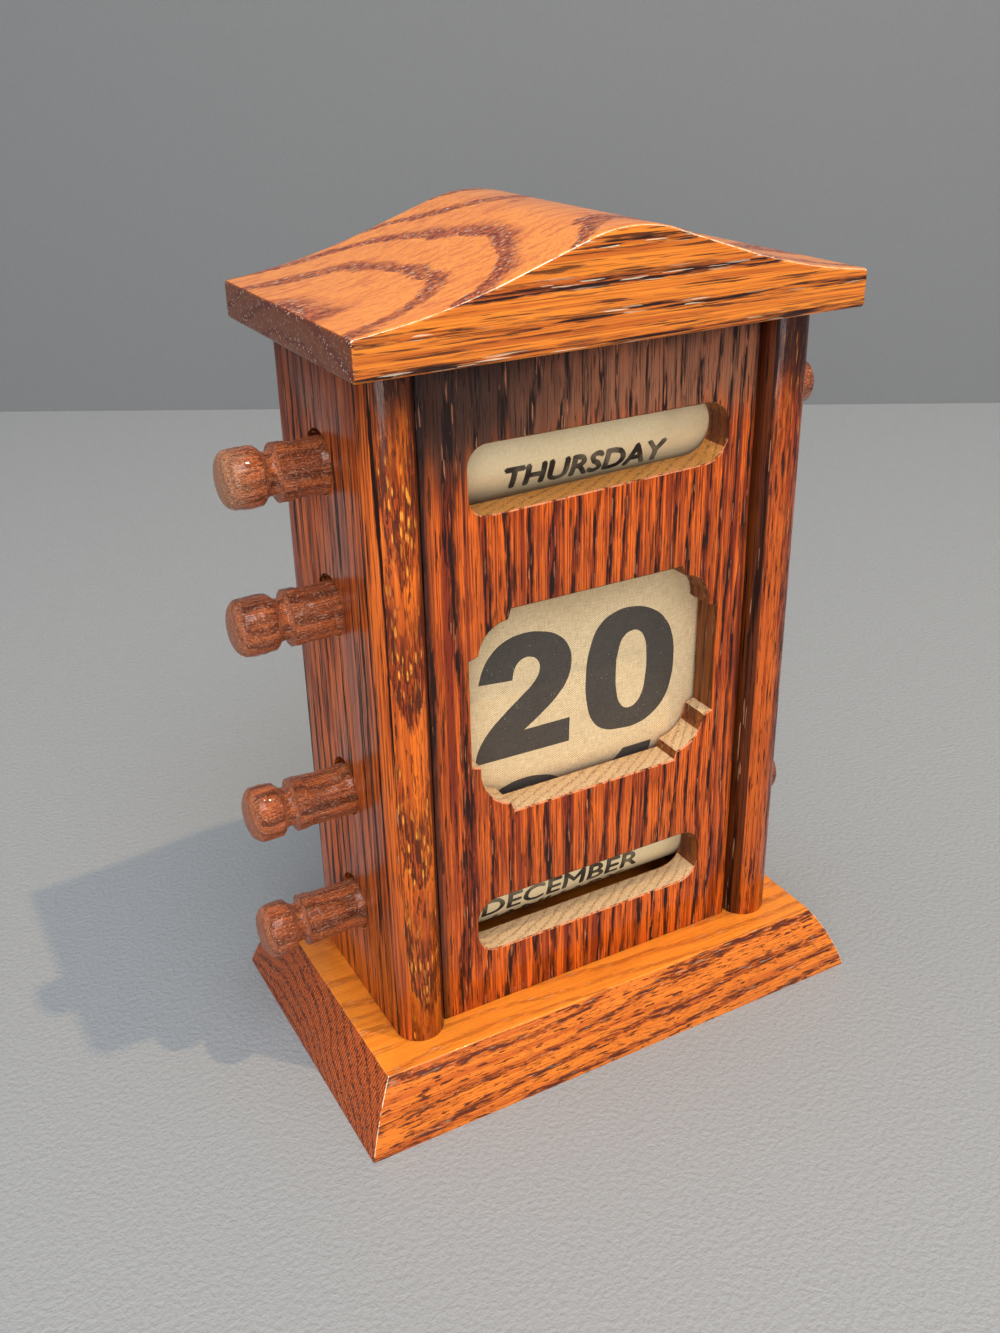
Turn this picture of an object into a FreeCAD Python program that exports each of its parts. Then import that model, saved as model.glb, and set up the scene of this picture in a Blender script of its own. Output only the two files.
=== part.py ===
import FreeCAD, Part
import math
import os
from types import SimpleNamespace

import Sketcher

# Perpetual desk calendar of oak. X points right, the front faces -Y and Z points up.
# The origin is the centre of the underside of the base. All sizes are in millimetres.

SIZES = {
    # Outside of the case
    "body_width": 88.6,
    "side_thickness": 9.8,
    # Base board with a slightly convex moulding
    "base_height": 13.7,
    "base_side_margin": 12.7,
    "base_front_margin": 10.6,
    "base_back_margin": 13.9,
    "moulding_inset_side": 6.4,
    "moulding_inset_front": 5.6,
    "moulding_radius": 46.0,
    "base_edge_round": 0.5,
    # Roof board with a low ogee top
    "roof_side_overhang": 4.35,
    "roof_front_overhang": 6.1,
    "roof_back_overhang": 6.7,
    "roof_edge_height": 6.6,
    "roof_hollow_rise": 5.7,
    "roof_slope_rise": 4.6,
    "roof_crown_rise": 1.3,
    "roof_slope_start": 22.0,
    "roof_crown_start": 8.2,
    "roof_hollow_radius": 122.0,
    "roof_edge_round": 0.7,
    # Front panel between the sides
    "panel_setback": 3.4,
    "panel_thickness": 6.4,
    "panel_shrink_gap": 0.9,
    # Slot for the day name, measured from the sides and from the axis of its roller
    "day_slot_left_margin": 8.9,
    "day_slot_right_margin": 6.6,
    "day_slot_left_drop": 7.7,
    "day_slot_right_drop": 6.5,
    "day_slot_rise": 4.7,
    "day_slot_left_straight": 4.8,
    "day_slot_right_straight": 0.4,
    # Slot for the month name
    "month_slot_left_margin": 8.2,
    "month_slot_right_margin": 8.5,
    "month_slot_drop": 7.5,
    "month_slot_rise": 4.4,
    "month_slot_left_straight": 3.1,
    "month_slot_right_straight": 1.9,
    # Date window, whose corners are stepped and rounded like a plaque
    "date_window_left_margin": 8.0,
    "date_window_right_margin": 7.1,
    "date_window_drop": 3.5,
    "date_window_rise": 0.6,
    "corner_left_head": 8.2,
    "corner_right_head": 10.0,
    "corner_left_foot": 12.0,
    "corner_right_foot": 9.0,
    "corner_width": 8.6,
    "corner_step": 1.9,
    "corner_step_lean": 0.6,
    "corner_radius_share": 0.76,
    # Spindles, which lie low in oversize holes
    "spindle_radius": 5.0,
    "spindle_hole_play": 0.65,
    "spindle_running_gap": 0.08,
    "blind_hole_floor": 3.3,
    "blind_hole_end_gap": 0.5,
    "spindle_end_bevel": 0.6,
    # Knobs turned by hand on the ends of the spindles, so no two are alike
    "day_left_knob_reach": 17.8,
    "day_left_knob_head": 7.3,
    "day_right_knob_reach": 16.4,
    "day_right_knob_head": 6.8,
    "month_left_knob_reach": 19.9,
    "month_left_knob_head": 6.3,
    "month_right_knob_reach": 15.0,
    "month_right_knob_head": 6.4,
    "date_upper_knob_reach": 18.7,
    "date_upper_knob_head": 7.8,
    "date_lower_knob_reach": 19.9,
    "date_lower_knob_head": 6.5,
    "knob_face_inset": 1.7,
    "knob_face_rise": 0.35,
    "knob_dome_length": 1.5,
    "knob_dome_radius": 3.0,
    "knob_swell": 0.2,
    "knob_barrel_radius": 14.0,
    "knob_corner_length": 0.6,
    "knob_neck_inset": 0.4,
    "knob_groove_width": 2.5,
    "knob_groove_depth": 0.77,
    "knob_bead_width": 2.2,
    "knob_bead_rise": 0.15,
    # Drums on the spindles and the paper round them
    "drum_end_gap": 1.5,
    "drum_bore_gap": 0.05,
    "name_drum_radius": 11.5,
    "date_drum_radius": 9.0,
    "paper_inset": 2.0,
    "paper_gap": 0.05,
    "label_thickness": 0.25,
    "upper_winding": 2.15,
    "lower_winding": 1.45,
    "band_thickness": 0.25,
    "band_running_gap": 0.3,
    "band_upper_wrap": 7.0,
    "band_lower_wrap": 8.4,
    "pin_radius": 0.8,
    "pin_depth": 0.3,
    "pin_hole_gap": 0.03,
    # Clear room from roller to roller and to the case
    "front_running_gap": 0.2,
    "bottom_block_gap": 2.5,
    "month_to_date_gap": 4.2,
    "date_to_date_gap": 15.8,
    "date_to_day_gap": 3.4,
    "top_block_gap": 2.4,
    "cleat_gap": 1.2,
    # Glue blocks, back panel and cleats
    "glue_block_section": 6.0,
    "glue_block_end_gap": 5.5,
    "back_thickness": 3.0,
    "back_inset": 1.5,
    "back_edge_gap": 0.3,
    "cleat_width": 6.0,
    "cleat_depth": 4.0,
    "cleat_end_gap": 3.0,
    # Wood screws and dowels
    "base_screw_length": 27.0,
    "base_screw_radius": 2.0,
    "base_screw_head_radius": 3.9,
    "base_screw_head_height": 2.4,
    "base_screw_recess": 0.4,
    "back_screw_end_margin": 0.8,
    "back_screw_radius": 0.9,
    "back_screw_head_radius": 1.8,
    "back_screw_head_height": 1.1,
    "back_screw_end_distance": 16.0,
    "screw_slot_share": 0.24,
    "screw_hole_gap": 0.05,
    "screw_tip_gap": 0.4,
    "fastener_spread": 26.0,
    "dowel_radius": 2.5,
    "dowel_in_side": 10.0,
    "dowel_in_roof": 4.6,
    "dowel_gap": 0.05,
    "dowel_end_gap": 0.3,
    # How far a cutting tool runs past the wood
    "overrun": 2.0,
}


class Size:
    """A number together with the sheet expression that gives it."""

    def __init__(self, value, text):
        self.value = value
        self.text = text

    def __add__(self, other):
        other = as_size(other)
        return Size(self.value + other.value, f"({self.text} + {other.text})")

    def __sub__(self, other):
        other = as_size(other)
        return Size(self.value - other.value, f"({self.text} - {other.text})")

    def __mul__(self, other):
        other = as_size(other)
        return Size(self.value * other.value, f"({self.text} * {other.text})")

    def __truediv__(self, other):
        other = as_size(other)
        return Size(self.value / other.value, f"({self.text} / {other.text})")

    def __neg__(self):
        return Size(-self.value, f"(0 - {self.text})")

    def root(self):
        return Size(math.sqrt(self.value), f"sqrt({self.text})")


def as_size(number):
    """A plain share or sign as a Size."""
    return number if isinstance(number, Size) else Size(number, f"({number})")


def largest(*sizes):
    """The largest of the sizes."""
    return Size(max(size.value for size in sizes), f"max({'; '.join(size.text for size in sizes)})")


def leg(long_side, short_side):
    """The other short side of a right-angled triangle."""
    return (long_side * long_side - short_side * short_side).root()


# The document and its sheet of sizes
ZERO = Size(0, "0")
SAME_PLACE = 0.001
document = FreeCAD.newDocument("desk_calendar")
sheet = document.addObject("Spreadsheet::Sheet", "Sizes")
for row, (alias, number) in enumerate(SIZES.items(), start=1):
    sheet.set(f"A{row}", alias.replace("_", " "))
    sheet.set(f"B{row}", str(number))
    sheet.setAlias(f"B{row}", alias)
document.recompute()
dim = SimpleNamespace(**{alias: Size(sheet.get(alias), f"Sizes.{alias}") for alias in SIZES})

# Half widths of the case
body_half = dim.body_width / 2
inner_half = body_half - dim.side_thickness
edge_radius = dim.side_thickness / 2
side_middle = body_half - edge_radius

# Radii of the rollers
hole_radius = dim.spindle_radius + dim.spindle_hole_play
hole_lift = dim.spindle_hole_play - dim.spindle_running_gap
name_radius = dim.name_drum_radius + dim.paper_gap + dim.label_thickness
upper_roll_radius = dim.date_drum_radius + dim.paper_gap + dim.upper_winding
lower_roll_radius = dim.date_drum_radius + dim.paper_gap + dim.lower_winding
band_reach = dim.band_running_gap + dim.band_thickness
widest_radius = largest(
    name_radius, upper_roll_radius + band_reach, lower_roll_radius + band_reach
)

# Half lengths of the rollers
drum_half = inner_half - dim.drum_end_gap
paper_half = drum_half - dim.paper_inset

# Depths, worked out from the front of the sides and then set about the middle of the base
panel_reach = dim.panel_setback + dim.panel_thickness
axis_reach = panel_reach + dim.front_running_gap + widest_radius
back_reach = axis_reach + widest_radius + dim.cleat_gap + dim.cleat_depth
side_depth = back_reach + dim.back_thickness + dim.back_inset
base_depth = dim.base_front_margin + side_depth + dim.base_back_margin
side_front = dim.base_front_margin - base_depth / 2
side_back = side_front + side_depth
panel_front = side_front + dim.panel_setback
panel_back = side_front + panel_reach
axis_depth = side_front + axis_reach
back_inner = side_front + back_reach
back_outer = back_inner + dim.back_thickness
roof_depth = dim.roof_front_overhang + side_depth + dim.roof_back_overhang
roof_middle = side_front - dim.roof_front_overhang + roof_depth / 2
fastener_depths = [
    side_front + (side_depth - dim.fastener_spread) / 2,
    side_front + (side_depth + dim.fastener_spread) / 2,
]

# Heights, from the base up through the rollers to the roof
month_axis = dim.base_height + dim.glue_block_section + dim.bottom_block_gap + name_radius
date_lower_axis = month_axis + name_radius + dim.month_to_date_gap + lower_roll_radius
date_upper_axis = date_lower_axis + lower_roll_radius + dim.date_to_date_gap + upper_roll_radius
day_axis = date_upper_axis + upper_roll_radius + dim.date_to_day_gap + name_radius
body_head = day_axis + name_radius + dim.top_block_gap + dim.glue_block_section
screw_depth_in_side = (
    dim.base_screw_recess + dim.base_screw_length + dim.screw_tip_gap - dim.base_height
)

# Each roller's height and its knobs, as (reach beyond the side, length of the head)
ROLLERS = {
    "day": SimpleNamespace(
        height=day_axis,
        left=(dim.day_left_knob_reach, dim.day_left_knob_head),
        right=(dim.day_right_knob_reach, dim.day_right_knob_head),
    ),
    "month": SimpleNamespace(
        height=month_axis,
        left=(dim.month_left_knob_reach, dim.month_left_knob_head),
        right=(dim.month_right_knob_reach, dim.month_right_knob_head),
    ),
    "date_upper": SimpleNamespace(
        height=date_upper_axis,
        left=(dim.date_upper_knob_reach, dim.date_upper_knob_head),
        right=None,
    ),
    "date_lower": SimpleNamespace(
        height=date_lower_axis,
        left=(dim.date_lower_knob_reach, dim.date_lower_knob_head),
        right=None,
    ),
}

parts = []


def keep(item, label):
    """Take an object as a sub-part with a name of its own."""
    item.Label = label
    parts.append(item)
    return item


def bind(item, **sizes):
    """Set properties and tie each to the sheet. A double underscore stands for a dot."""
    for name, size in sizes.items():
        item.setExpression(name.replace("__", "."), as_size(size).text)


def new_body(label):
    body = document.addObject("PartDesign::Body", label)
    return keep(body, label)


def origin_plane(body, role):
    return next(plane for plane in body.Origin.OriginFeatures if plane.Role == role)


def new_sketch(body, role, offset=ZERO):
    """A sketch on an origin plane of the body, moved along the plane's normal."""
    sketch = body.newObject("Sketcher::SketchObject", f"{body.Name}_sketch")
    sketch.AttachmentSupport = [(origin_plane(body, role), "")]
    sketch.MapMode = "FlatFace"
    bind(sketch, AttachmentOffset__Base__z=offset)
    return sketch


def pin_point(sketch, geometry, position, across, up):
    """Fix a point by its two coordinates."""
    for kind, axis, size in (("DistanceX", -2, across), ("DistanceY", -1, up)):
        if size.text == ZERO.text:
            sketch.addConstraint(Sketcher.Constraint("PointOnObject", geometry, position, axis))
            continue
        index = sketch.addConstraint(Sketcher.Constraint(kind, geometry, position, size.value))
        sketch.setExpression(f"Constraints[{index}]", size.text)


def arc_through(start, end, radius):
    """The short arc between two points. A positive radius bows to the left of the way."""
    chord = end - start
    half = chord.Length / 2
    rise = abs(radius) - math.sqrt(max(radius * radius - half * half, 0))
    left = FreeCAD.Vector(-chord.y, chord.x, 0).normalize()
    middle = (start + end) / 2 + left * math.copysign(rise, radius)
    return Part.Arc(start, middle, end)


def outline(sketch, corners):
    """Draw a closed outline of (across, up) or (across, up, radius of the arc that follows)."""
    count = len(corners)
    first = sketch.GeometryCount
    spots = [FreeCAD.Vector(corner[0].value, corner[1].value, 0) for corner in corners]
    for index, corner in enumerate(corners):
        start = spots[index]
        end = spots[(index + 1) % count]
        bowed = len(corner) > 2
        curve = arc_through(start, end, corner[2].value) if bowed else Part.LineSegment(start, end)
        sketch.addGeometry(curve, False)
    ends = []
    for index, corner in enumerate(corners):
        # An arc drawn clockwise has its end point first
        clockwise = len(corner) > 2 and corner[2].value > 0
        ends.append((2, 1) if clockwise else (1, 2))
    for index in range(count):
        after = (index + 1) % count
        joint = Sketcher.Constraint(
            "Coincident", first + index, ends[index][1], first + after, ends[after][0]
        )
        sketch.addConstraint(joint)
    for index, corner in enumerate(corners):
        pin_point(sketch, first + index, ends[index][0], corner[0], corner[1])
        if len(corner) > 2:
            radius = corner[2] if corner[2].value > 0 else -corner[2]
            number = sketch.addConstraint(
                Sketcher.Constraint("Radius", first + index, radius.value)
            )
            sketch.setExpression(f"Constraints[{number}]", radius.text)


def circle(sketch, across, up, radius):
    spot = FreeCAD.Vector(across.value, up.value, 0)
    upright = FreeCAD.Vector(0, 0, 1)
    index = sketch.addGeometry(Part.Circle(spot, upright, radius.value), False)
    pin_point(sketch, index, 3, across, up)
    number = sketch.addConstraint(Sketcher.Constraint("Radius", index, radius.value))
    sketch.setExpression(f"Constraints[{number}]", radius.text)


def pad(body, sketch, length, midplane=False, reverse=False):
    feature = body.newObject("PartDesign::Pad", f"{body.Name}_pad")
    feature.Profile = sketch
    feature.Midplane = midplane
    feature.Reversed = reverse
    bind(feature, Length=length)
    document.recompute()
    return feature


def pocket(body, sketch, depth=None, reverse=False):
    """Cut the sketch out of the body, to a depth or right through both ways."""
    before = body.Shape.Volume
    feature = body.newObject("PartDesign::Pocket", f"{body.Name}_pocket")
    feature.Profile = sketch
    feature.Reversed = reverse
    if depth is None:
        feature.Type = "ThroughAll"
        feature.Midplane = True
    else:
        bind(feature, Length=depth)
    document.recompute()
    if body.Shape.Volume >= before:
        raise RuntimeError(f"{feature.Name} cuts nothing")
    return feature


def revolve(body, sketch):
    feature = body.newObject("PartDesign::Revolution", f"{body.Name}_turning")
    feature.Profile = sketch
    feature.ReferenceAxis = (sketch, ["H_Axis"])
    feature.Angle = 360
    document.recompute()
    return feature


def round_edges(body, chosen, radius):
    """Round the edges of the body's last feature that the chosen test picks."""
    base = body.Tip
    names = [f"Edge{i}" for i, edge in enumerate(base.Shape.Edges, start=1) if chosen(edge)]
    if not names:
        raise RuntimeError(f"{body.Name} has no edge to round")
    feature = body.newObject("PartDesign::Fillet", f"{body.Name}_rounding")
    feature.Base = (base, names)
    bind(feature, Radius=radius)
    document.recompute()
    return feature


def board(label, across, depth, up):
    """A plain block between the given low and high places along X, Y and Z."""
    body = new_body(label)
    sketch = new_sketch(body, "XY_Plane", up[0])
    outline(sketch, [
        (across[0], depth[0]),
        (across[1], depth[0]),
        (across[1], depth[1]),
        (across[0], depth[1]),
    ])
    pad(body, sketch, up[1] - up[0])
    return body


def arc_of_rise(half_chord, rise):
    """The radius of an arc from half its chord and its rise over the chord."""
    return (half_chord * half_chord + rise * rise) / (rise * 2)


def on_base_top(edge):
    return all(
        abs(vertex.Z - dim.base_height.value) < SAME_PLACE for vertex in edge.Vertexes
    )


def base_board():
    """The base: the end moulding is the section, and the front and back ones are cut off."""
    body = new_body("base_board")
    half = body_half + dim.base_side_margin
    top = half - dim.moulding_inset_side
    radius = dim.moulding_radius
    sketch = new_sketch(body, "XZ_Plane")
    outline(sketch, [
        (-half, ZERO),
        (half, ZERO, -radius),
        (top, dim.base_height),
        (-top, dim.base_height, -radius),
    ])
    pad(body, sketch, base_depth, midplane=True)
    front = base_depth / 2
    brow = front - dim.moulding_inset_front
    beyond = front + dim.overrun
    above = dim.base_height + dim.overrun
    sketch = new_sketch(body, "YZ_Plane")
    outline(sketch, [
        (front, ZERO, -radius),
        (brow, dim.base_height),
        (brow, above),
        (beyond, above),
        (beyond, ZERO),
    ])
    outline(sketch, [
        (-front, ZERO, radius),
        (-brow, dim.base_height),
        (-brow, above),
        (-beyond, above),
        (-beyond, ZERO),
    ])
    pocket(body, sketch)
    round_edges(body, on_base_top, dim.base_edge_round)
    screw_holes_in_base(body)
    return body


def screw_places():
    """Where the base screws and the roof dowels stand, as (across, depth)."""
    return [(side, depth) for side in (-side_middle, side_middle) for depth in fastener_depths]


def countersink(body, facing, spot, head_radius, shank_radius, height):
    """Cut the cone that takes the head of a screw, with its wide end at the spot."""
    before = body.Shape.Volume
    cone = body.newObject("PartDesign::SubtractiveCone", f"{body.Name}_countersink")
    cone.Placement = facing
    bind(
        cone,
        Radius1=head_radius + dim.screw_hole_gap,
        Radius2=shank_radius + dim.screw_hole_gap,
        Height=height,
        Placement__Base__x=spot[0],
        Placement__Base__y=spot[1],
        Placement__Base__z=spot[2],
    )
    document.recompute()
    if body.Shape.Volume >= before:
        raise RuntimeError(f"{cone.Name} cuts nothing")


def screw_holes_in_base(body):
    sketch = new_sketch(body, "XY_Plane")
    for across, depth in screw_places():
        circle(sketch, across, depth, dim.base_screw_radius + dim.screw_hole_gap)
    pocket(body, sketch)
    sketch = new_sketch(body, "XY_Plane")
    for across, depth in screw_places():
        circle(sketch, across, depth, dim.base_screw_head_radius + dim.screw_hole_gap)
    pocket(body, sketch, dim.base_screw_recess, reverse=True)
    for across, depth in screw_places():
        countersink(
            body, FreeCAD.Placement(), (across, depth, dim.base_screw_recess),
            dim.base_screw_head_radius, dim.base_screw_radius, dim.base_screw_head_height,
        )


def side_board(label, side):
    """A side board. side is -1 for the left and 1 for the right."""
    body = new_body(label)
    middle = side_middle * side
    low = middle - edge_radius
    high = middle + edge_radius
    front = side_front + edge_radius
    back = side_back - edge_radius
    sketch = new_sketch(body, "XY_Plane", dim.base_height)
    outline(sketch, [
        (low, front, -edge_radius),
        (middle, side_front, -edge_radius),
        (high, front),
        (high, back, -edge_radius),
        (middle, side_back, -edge_radius),
        (low, back),
    ])
    pad(body, sketch, body_head - dim.base_height)
    through = [place for place in ROLLERS.values() if side < 0 or place.right]
    blind = [place for place in ROLLERS.values() if place not in through]
    sketch = new_sketch(body, "YZ_Plane")
    for place in through:
        circle(sketch, axis_depth, place.height + hole_lift, hole_radius)
    pocket(body, sketch)
    if blind:
        sketch = new_sketch(body, "YZ_Plane", inner_half)
        for place in blind:
            circle(sketch, axis_depth, place.height + hole_lift, hole_radius)
        pocket(body, sketch, dim.side_thickness - dim.blind_hole_floor, reverse=True)
    screw_hole = dim.base_screw_radius + dim.screw_hole_gap
    dowel_hole = dim.dowel_radius + dim.dowel_gap
    ends = (
        (dim.base_height, screw_hole, screw_depth_in_side, True),
        (body_head, dowel_hole, dim.dowel_in_side + dim.dowel_end_gap, False),
    )
    for level, radius, depth, upward in ends:
        sketch = new_sketch(body, "XY_Plane", level)
        for spot in fastener_depths:
            circle(sketch, middle, spot, radius)
        pocket(body, sketch, depth, reverse=upward)
    return body


def slot_outline(sketch, left, right, foot_left, foot_right, head, straights):
    """A slot with rounded corners, whose two ends may differ a little as in hand work.

    straights are the lengths left straight between the corners of the left and the right end.
    """
    corner_left = (head - foot_left - straights[0]) / 2
    corner_right = (head - foot_right - straights[1]) / 2
    outline(sketch, [
        (left, foot_left + corner_left, -corner_left),
        (left + corner_left, foot_left),
        (right - corner_right, foot_right, -corner_right),
        (right, foot_right + corner_right),
        (right, head - corner_right, -corner_right),
        (right - corner_right, head),
        (left + corner_left, head, -corner_left),
        (left, head - corner_left),
    ])


def window_corner(edge, level, across, up, height):
    """One stepped corner of the date window, from the upright edge to the level one.

    edge and level are the sides of the window, across and up are 1 or -1 towards the corner, and
    height is how far from the level edge the corner starts.
    """
    step = dim.corner_step
    lean = dim.corner_step_lean
    run = dim.corner_width - step - lean
    rise = height - step - lean
    radius = (run * run + rise * rise).root() * dim.corner_radius_share
    return [
        (edge, level - height * up),
        (edge - step * across, level - (height - lean) * up, radius * (-across * up)),
        (edge - (step + run) * across, level - step * up),
        (edge - dim.corner_width * across, level),
    ]


def walk_back(points):
    """The same run of points the other way round, with its arcs on the same stretches."""
    walked = []
    for index in range(len(points) - 1, -1, -1):
        arc = points[index - 1][2:] if index > 0 else ()
        walked.append(points[index][:2] + tuple(-radius for radius in arc))
    return walked


def front_panel():
    body = new_body("front_panel")
    left = -inner_half
    right = inner_half - dim.panel_shrink_gap
    sketch = new_sketch(body, "XZ_Plane", -panel_front)
    outline(sketch, [
        (left, dim.base_height),
        (right, dim.base_height),
        (right, body_head),
        (left, body_head),
    ])
    pad(body, sketch, dim.panel_thickness, reverse=True)
    sketch = new_sketch(body, "XZ_Plane", -panel_front)
    slot_outline(
        sketch, dim.day_slot_left_margin - inner_half, inner_half - dim.day_slot_right_margin,
        day_axis - dim.day_slot_left_drop, day_axis - dim.day_slot_right_drop,
        day_axis + dim.day_slot_rise,
        (dim.day_slot_left_straight, dim.day_slot_right_straight),
    )
    slot_outline(
        sketch, dim.month_slot_left_margin - inner_half, inner_half - dim.month_slot_right_margin,
        month_axis - dim.month_slot_drop, month_axis - dim.month_slot_drop,
        month_axis + dim.month_slot_rise,
        (dim.month_slot_left_straight, dim.month_slot_right_straight),
    )
    foot = date_lower_axis - dim.date_window_drop
    head = date_upper_axis + dim.date_window_rise
    left_edge = dim.date_window_left_margin - inner_half
    right_edge = inner_half - dim.date_window_right_margin
    corners = window_corner(right_edge, head, 1, 1, dim.corner_right_head)
    corners += walk_back(window_corner(left_edge, head, -1, 1, dim.corner_left_head))
    corners += window_corner(left_edge, foot, -1, -1, dim.corner_left_foot)
    corners += walk_back(window_corner(right_edge, foot, 1, -1, dim.corner_right_foot))
    outline(sketch, corners)
    pocket(body, sketch)
    return body


def on_roof_face(edge):
    """Whether an edge bounds the front or the back face of the roof."""
    half = roof_depth.value / 2
    return all(
        abs(abs(vertex.Y - roof_middle.value) - half) < SAME_PLACE for vertex in edge.Vertexes
    )


def roof_board():
    body = new_body("roof_board")
    half = body_half + dim.roof_side_overhang
    eaves = body_head + dim.roof_edge_height
    slope_foot = eaves + dim.roof_hollow_rise
    slope_head = slope_foot + dim.roof_slope_rise
    peak = slope_head + dim.roof_crown_rise
    crown_radius = arc_of_rise(dim.roof_crown_start, dim.roof_crown_rise)
    sketch = new_sketch(body, "XZ_Plane", -roof_middle)
    outline(sketch, [
        (-half, body_head),
        (half, body_head),
        (half, eaves, dim.roof_hollow_radius),
        (dim.roof_slope_start, slope_foot),
        (dim.roof_crown_start, slope_head, -crown_radius),
        (ZERO, peak, -crown_radius),
        (-dim.roof_crown_start, slope_head),
        (-dim.roof_slope_start, slope_foot, dim.roof_hollow_radius),
        (-half, eaves),
    ])
    pad(body, sketch, roof_depth, midplane=True)
    round_edges(body, on_roof_face, dim.roof_edge_round)
    sketch = new_sketch(body, "XY_Plane", body_head)
    for across, depth in screw_places():
        circle(sketch, across, depth, dim.dowel_radius + dim.dowel_gap)
    pocket(body, sketch, dim.dowel_in_roof + dim.dowel_end_gap, reverse=True)
    return body


def knob_profile(reach, head, inward):
    """The turned end from the middle of its tip to the shaft, as points of a half section.

    inward is 1 on the left end and -1 on the right end.
    """
    shaft = dim.spindle_radius
    bead = shaft + dim.knob_bead_rise
    face_edge = shaft - dim.knob_face_inset
    barrel = shaft + dim.knob_swell
    neck_edge = shaft - dim.knob_neck_inset
    tip = -((body_half + reach) * inward)
    face = tip + dim.knob_face_rise * inward
    shoulder = face + dim.knob_dome_length * inward
    neck = tip + head * inward
    corner = neck - dim.knob_corner_length * inward
    groove = neck + dim.knob_groove_width * inward
    bead_end = groove + dim.knob_bead_width * inward
    face_arc = arc_of_rise(face_edge, dim.knob_face_rise)
    groove_arc = arc_of_rise(dim.knob_groove_width / 2, dim.knob_groove_depth)
    return [
        (tip, ZERO, face_arc * inward),
        (face, face_edge, dim.knob_dome_radius * inward),
        (shoulder, barrel, dim.knob_barrel_radius * inward),
        (corner, barrel),
        (neck, neck_edge, groove_arc * -inward),
        (groove, neck_edge),
        (groove, bead),
        (bead_end, bead),
        (bead_end, shaft),
    ]


def spindle(name, place):
    """A spindle about its own X axis, turned from a dowel with a knob on one or both ends."""
    body = new_body(f"{name}_spindle")
    points = knob_profile(*place.left, 1)
    if place.right:
        points += walk_back(knob_profile(*place.right, -1))
    else:
        end = body_half - dim.blind_hole_floor - dim.blind_hole_end_gap
        points += [
            (end - dim.spindle_end_bevel, dim.spindle_radius),
            (end, dim.spindle_radius - dim.spindle_end_bevel),
            (end, ZERO),
        ]
    sketch = new_sketch(body, "XZ_Plane")
    outline(sketch, points)
    revolve(body, sketch)
    pin_hole(body)
    return set_on_axis(body, place)


def pin_hole(body):
    sketch = new_sketch(body, "XY_Plane")
    circle(sketch, ZERO, ZERO, dim.pin_radius + dim.pin_hole_gap)
    pocket(body, sketch)


def set_on_axis(item, place):
    bind(item, Placement__Base__y=axis_depth, Placement__Base__z=place.height)
    return item


def ring(label, half_length, inner, outer):
    """A tube about its own X axis."""
    body = new_body(label)
    sketch = new_sketch(body, "YZ_Plane")
    circle(sketch, ZERO, ZERO, outer)
    circle(sketch, ZERO, ZERO, inner)
    pad(body, sketch, half_length * 2, midplane=True)
    return body


def roller(name, place):
    """A spindle with its drum, the paper round the drum and the pin that holds the drum."""
    dates = name.startswith("date")
    radius = dim.date_drum_radius if dates else dim.name_drum_radius
    spindle(name, place)
    drum = ring(f"{name}_drum", drum_half, dim.spindle_radius + dim.drum_bore_gap, radius)
    pin_hole(drum)
    set_on_axis(drum, place)
    inner = radius + dim.paper_gap
    if dates:
        outer = upper_roll_radius if name == "date_upper" else lower_roll_radius
        paper = ring(f"{name}_roll", paper_half, inner, outer)
    else:
        paper = ring(f"{name}_label", paper_half, inner, name_radius)
    set_on_axis(paper, place)
    pin = keep(document.addObject("Part::Cylinder", f"{name}_pin"), f"{name}_pin")
    reach = radius - dim.pin_depth
    bind(
        pin,
        Radius=dim.pin_radius,
        Height=reach * 2,
        Placement__Base__y=axis_depth,
        Placement__Base__z=place.height - reach,
    )
    document.recompute()


def band_edge(radius, centre, rise):
    """A point of a circle round a roller, in front of it and so far above its axis."""
    return (axis_depth - leg(radius, rise), centre + rise)


def date_band():
    """The stretch of band in front of the date rollers, which also follows them a little."""
    body = new_body("date_band")
    top = date_upper_axis
    foot = date_lower_axis
    apart = top - foot
    wider = upper_roll_radius - lower_roll_radius
    lean = wider / apart
    upright = leg(apart, wider) / apart
    faces = []
    for extra in (dim.band_running_gap, band_reach):
        upper = upper_roll_radius + extra
        lower = lower_roll_radius + extra
        faces.append([
            band_edge(upper, top, dim.band_upper_wrap) + (-upper,),
            (axis_depth - upper * upright, top - upper * lean),
            (axis_depth - lower * upright, foot - lower * lean, -lower),
            band_edge(lower, foot, -dim.band_lower_wrap),
        ])
    inner, outer = faces
    sketch = new_sketch(body, "YZ_Plane")
    outline(sketch, inner + walk_back(outer))
    pad(body, sketch, paper_half * 2, midplane=True)
    return body


def wood_screw(name, length, radius, head_radius, head_height):
    """A countersunk screw along its own Z axis, with the face of its head at the origin."""
    head = document.addObject("Part::Cone", f"{name}_head")
    bind(head, Radius1=head_radius, Radius2=radius, Height=head_height)
    shank = document.addObject("Part::Cylinder", f"{name}_shank")
    bind(shank, Radius=radius, Height=length - radius)
    point = document.addObject("Part::Cone", f"{name}_point")
    bind(point, Radius1=radius, Radius2=ZERO, Height=radius, Placement__Base__z=length - radius)
    whole = document.addObject("Part::MultiFuse", f"{name}_blank")
    whole.Shapes = [head, shank, point]
    slot = document.addObject("Part::Box", f"{name}_slot")
    width = head_radius * dim.screw_slot_share
    reach = head_radius + dim.overrun
    bind(
        slot,
        Length=reach * 2,
        Width=width,
        Height=width + dim.overrun,
        Placement__Base__x=-reach,
        Placement__Base__y=-(width / 2),
        Placement__Base__z=-dim.overrun,
    )
    screw = document.addObject("Part::Cut", name)
    screw.Base = whole
    screw.Tool = slot
    return screw


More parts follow.
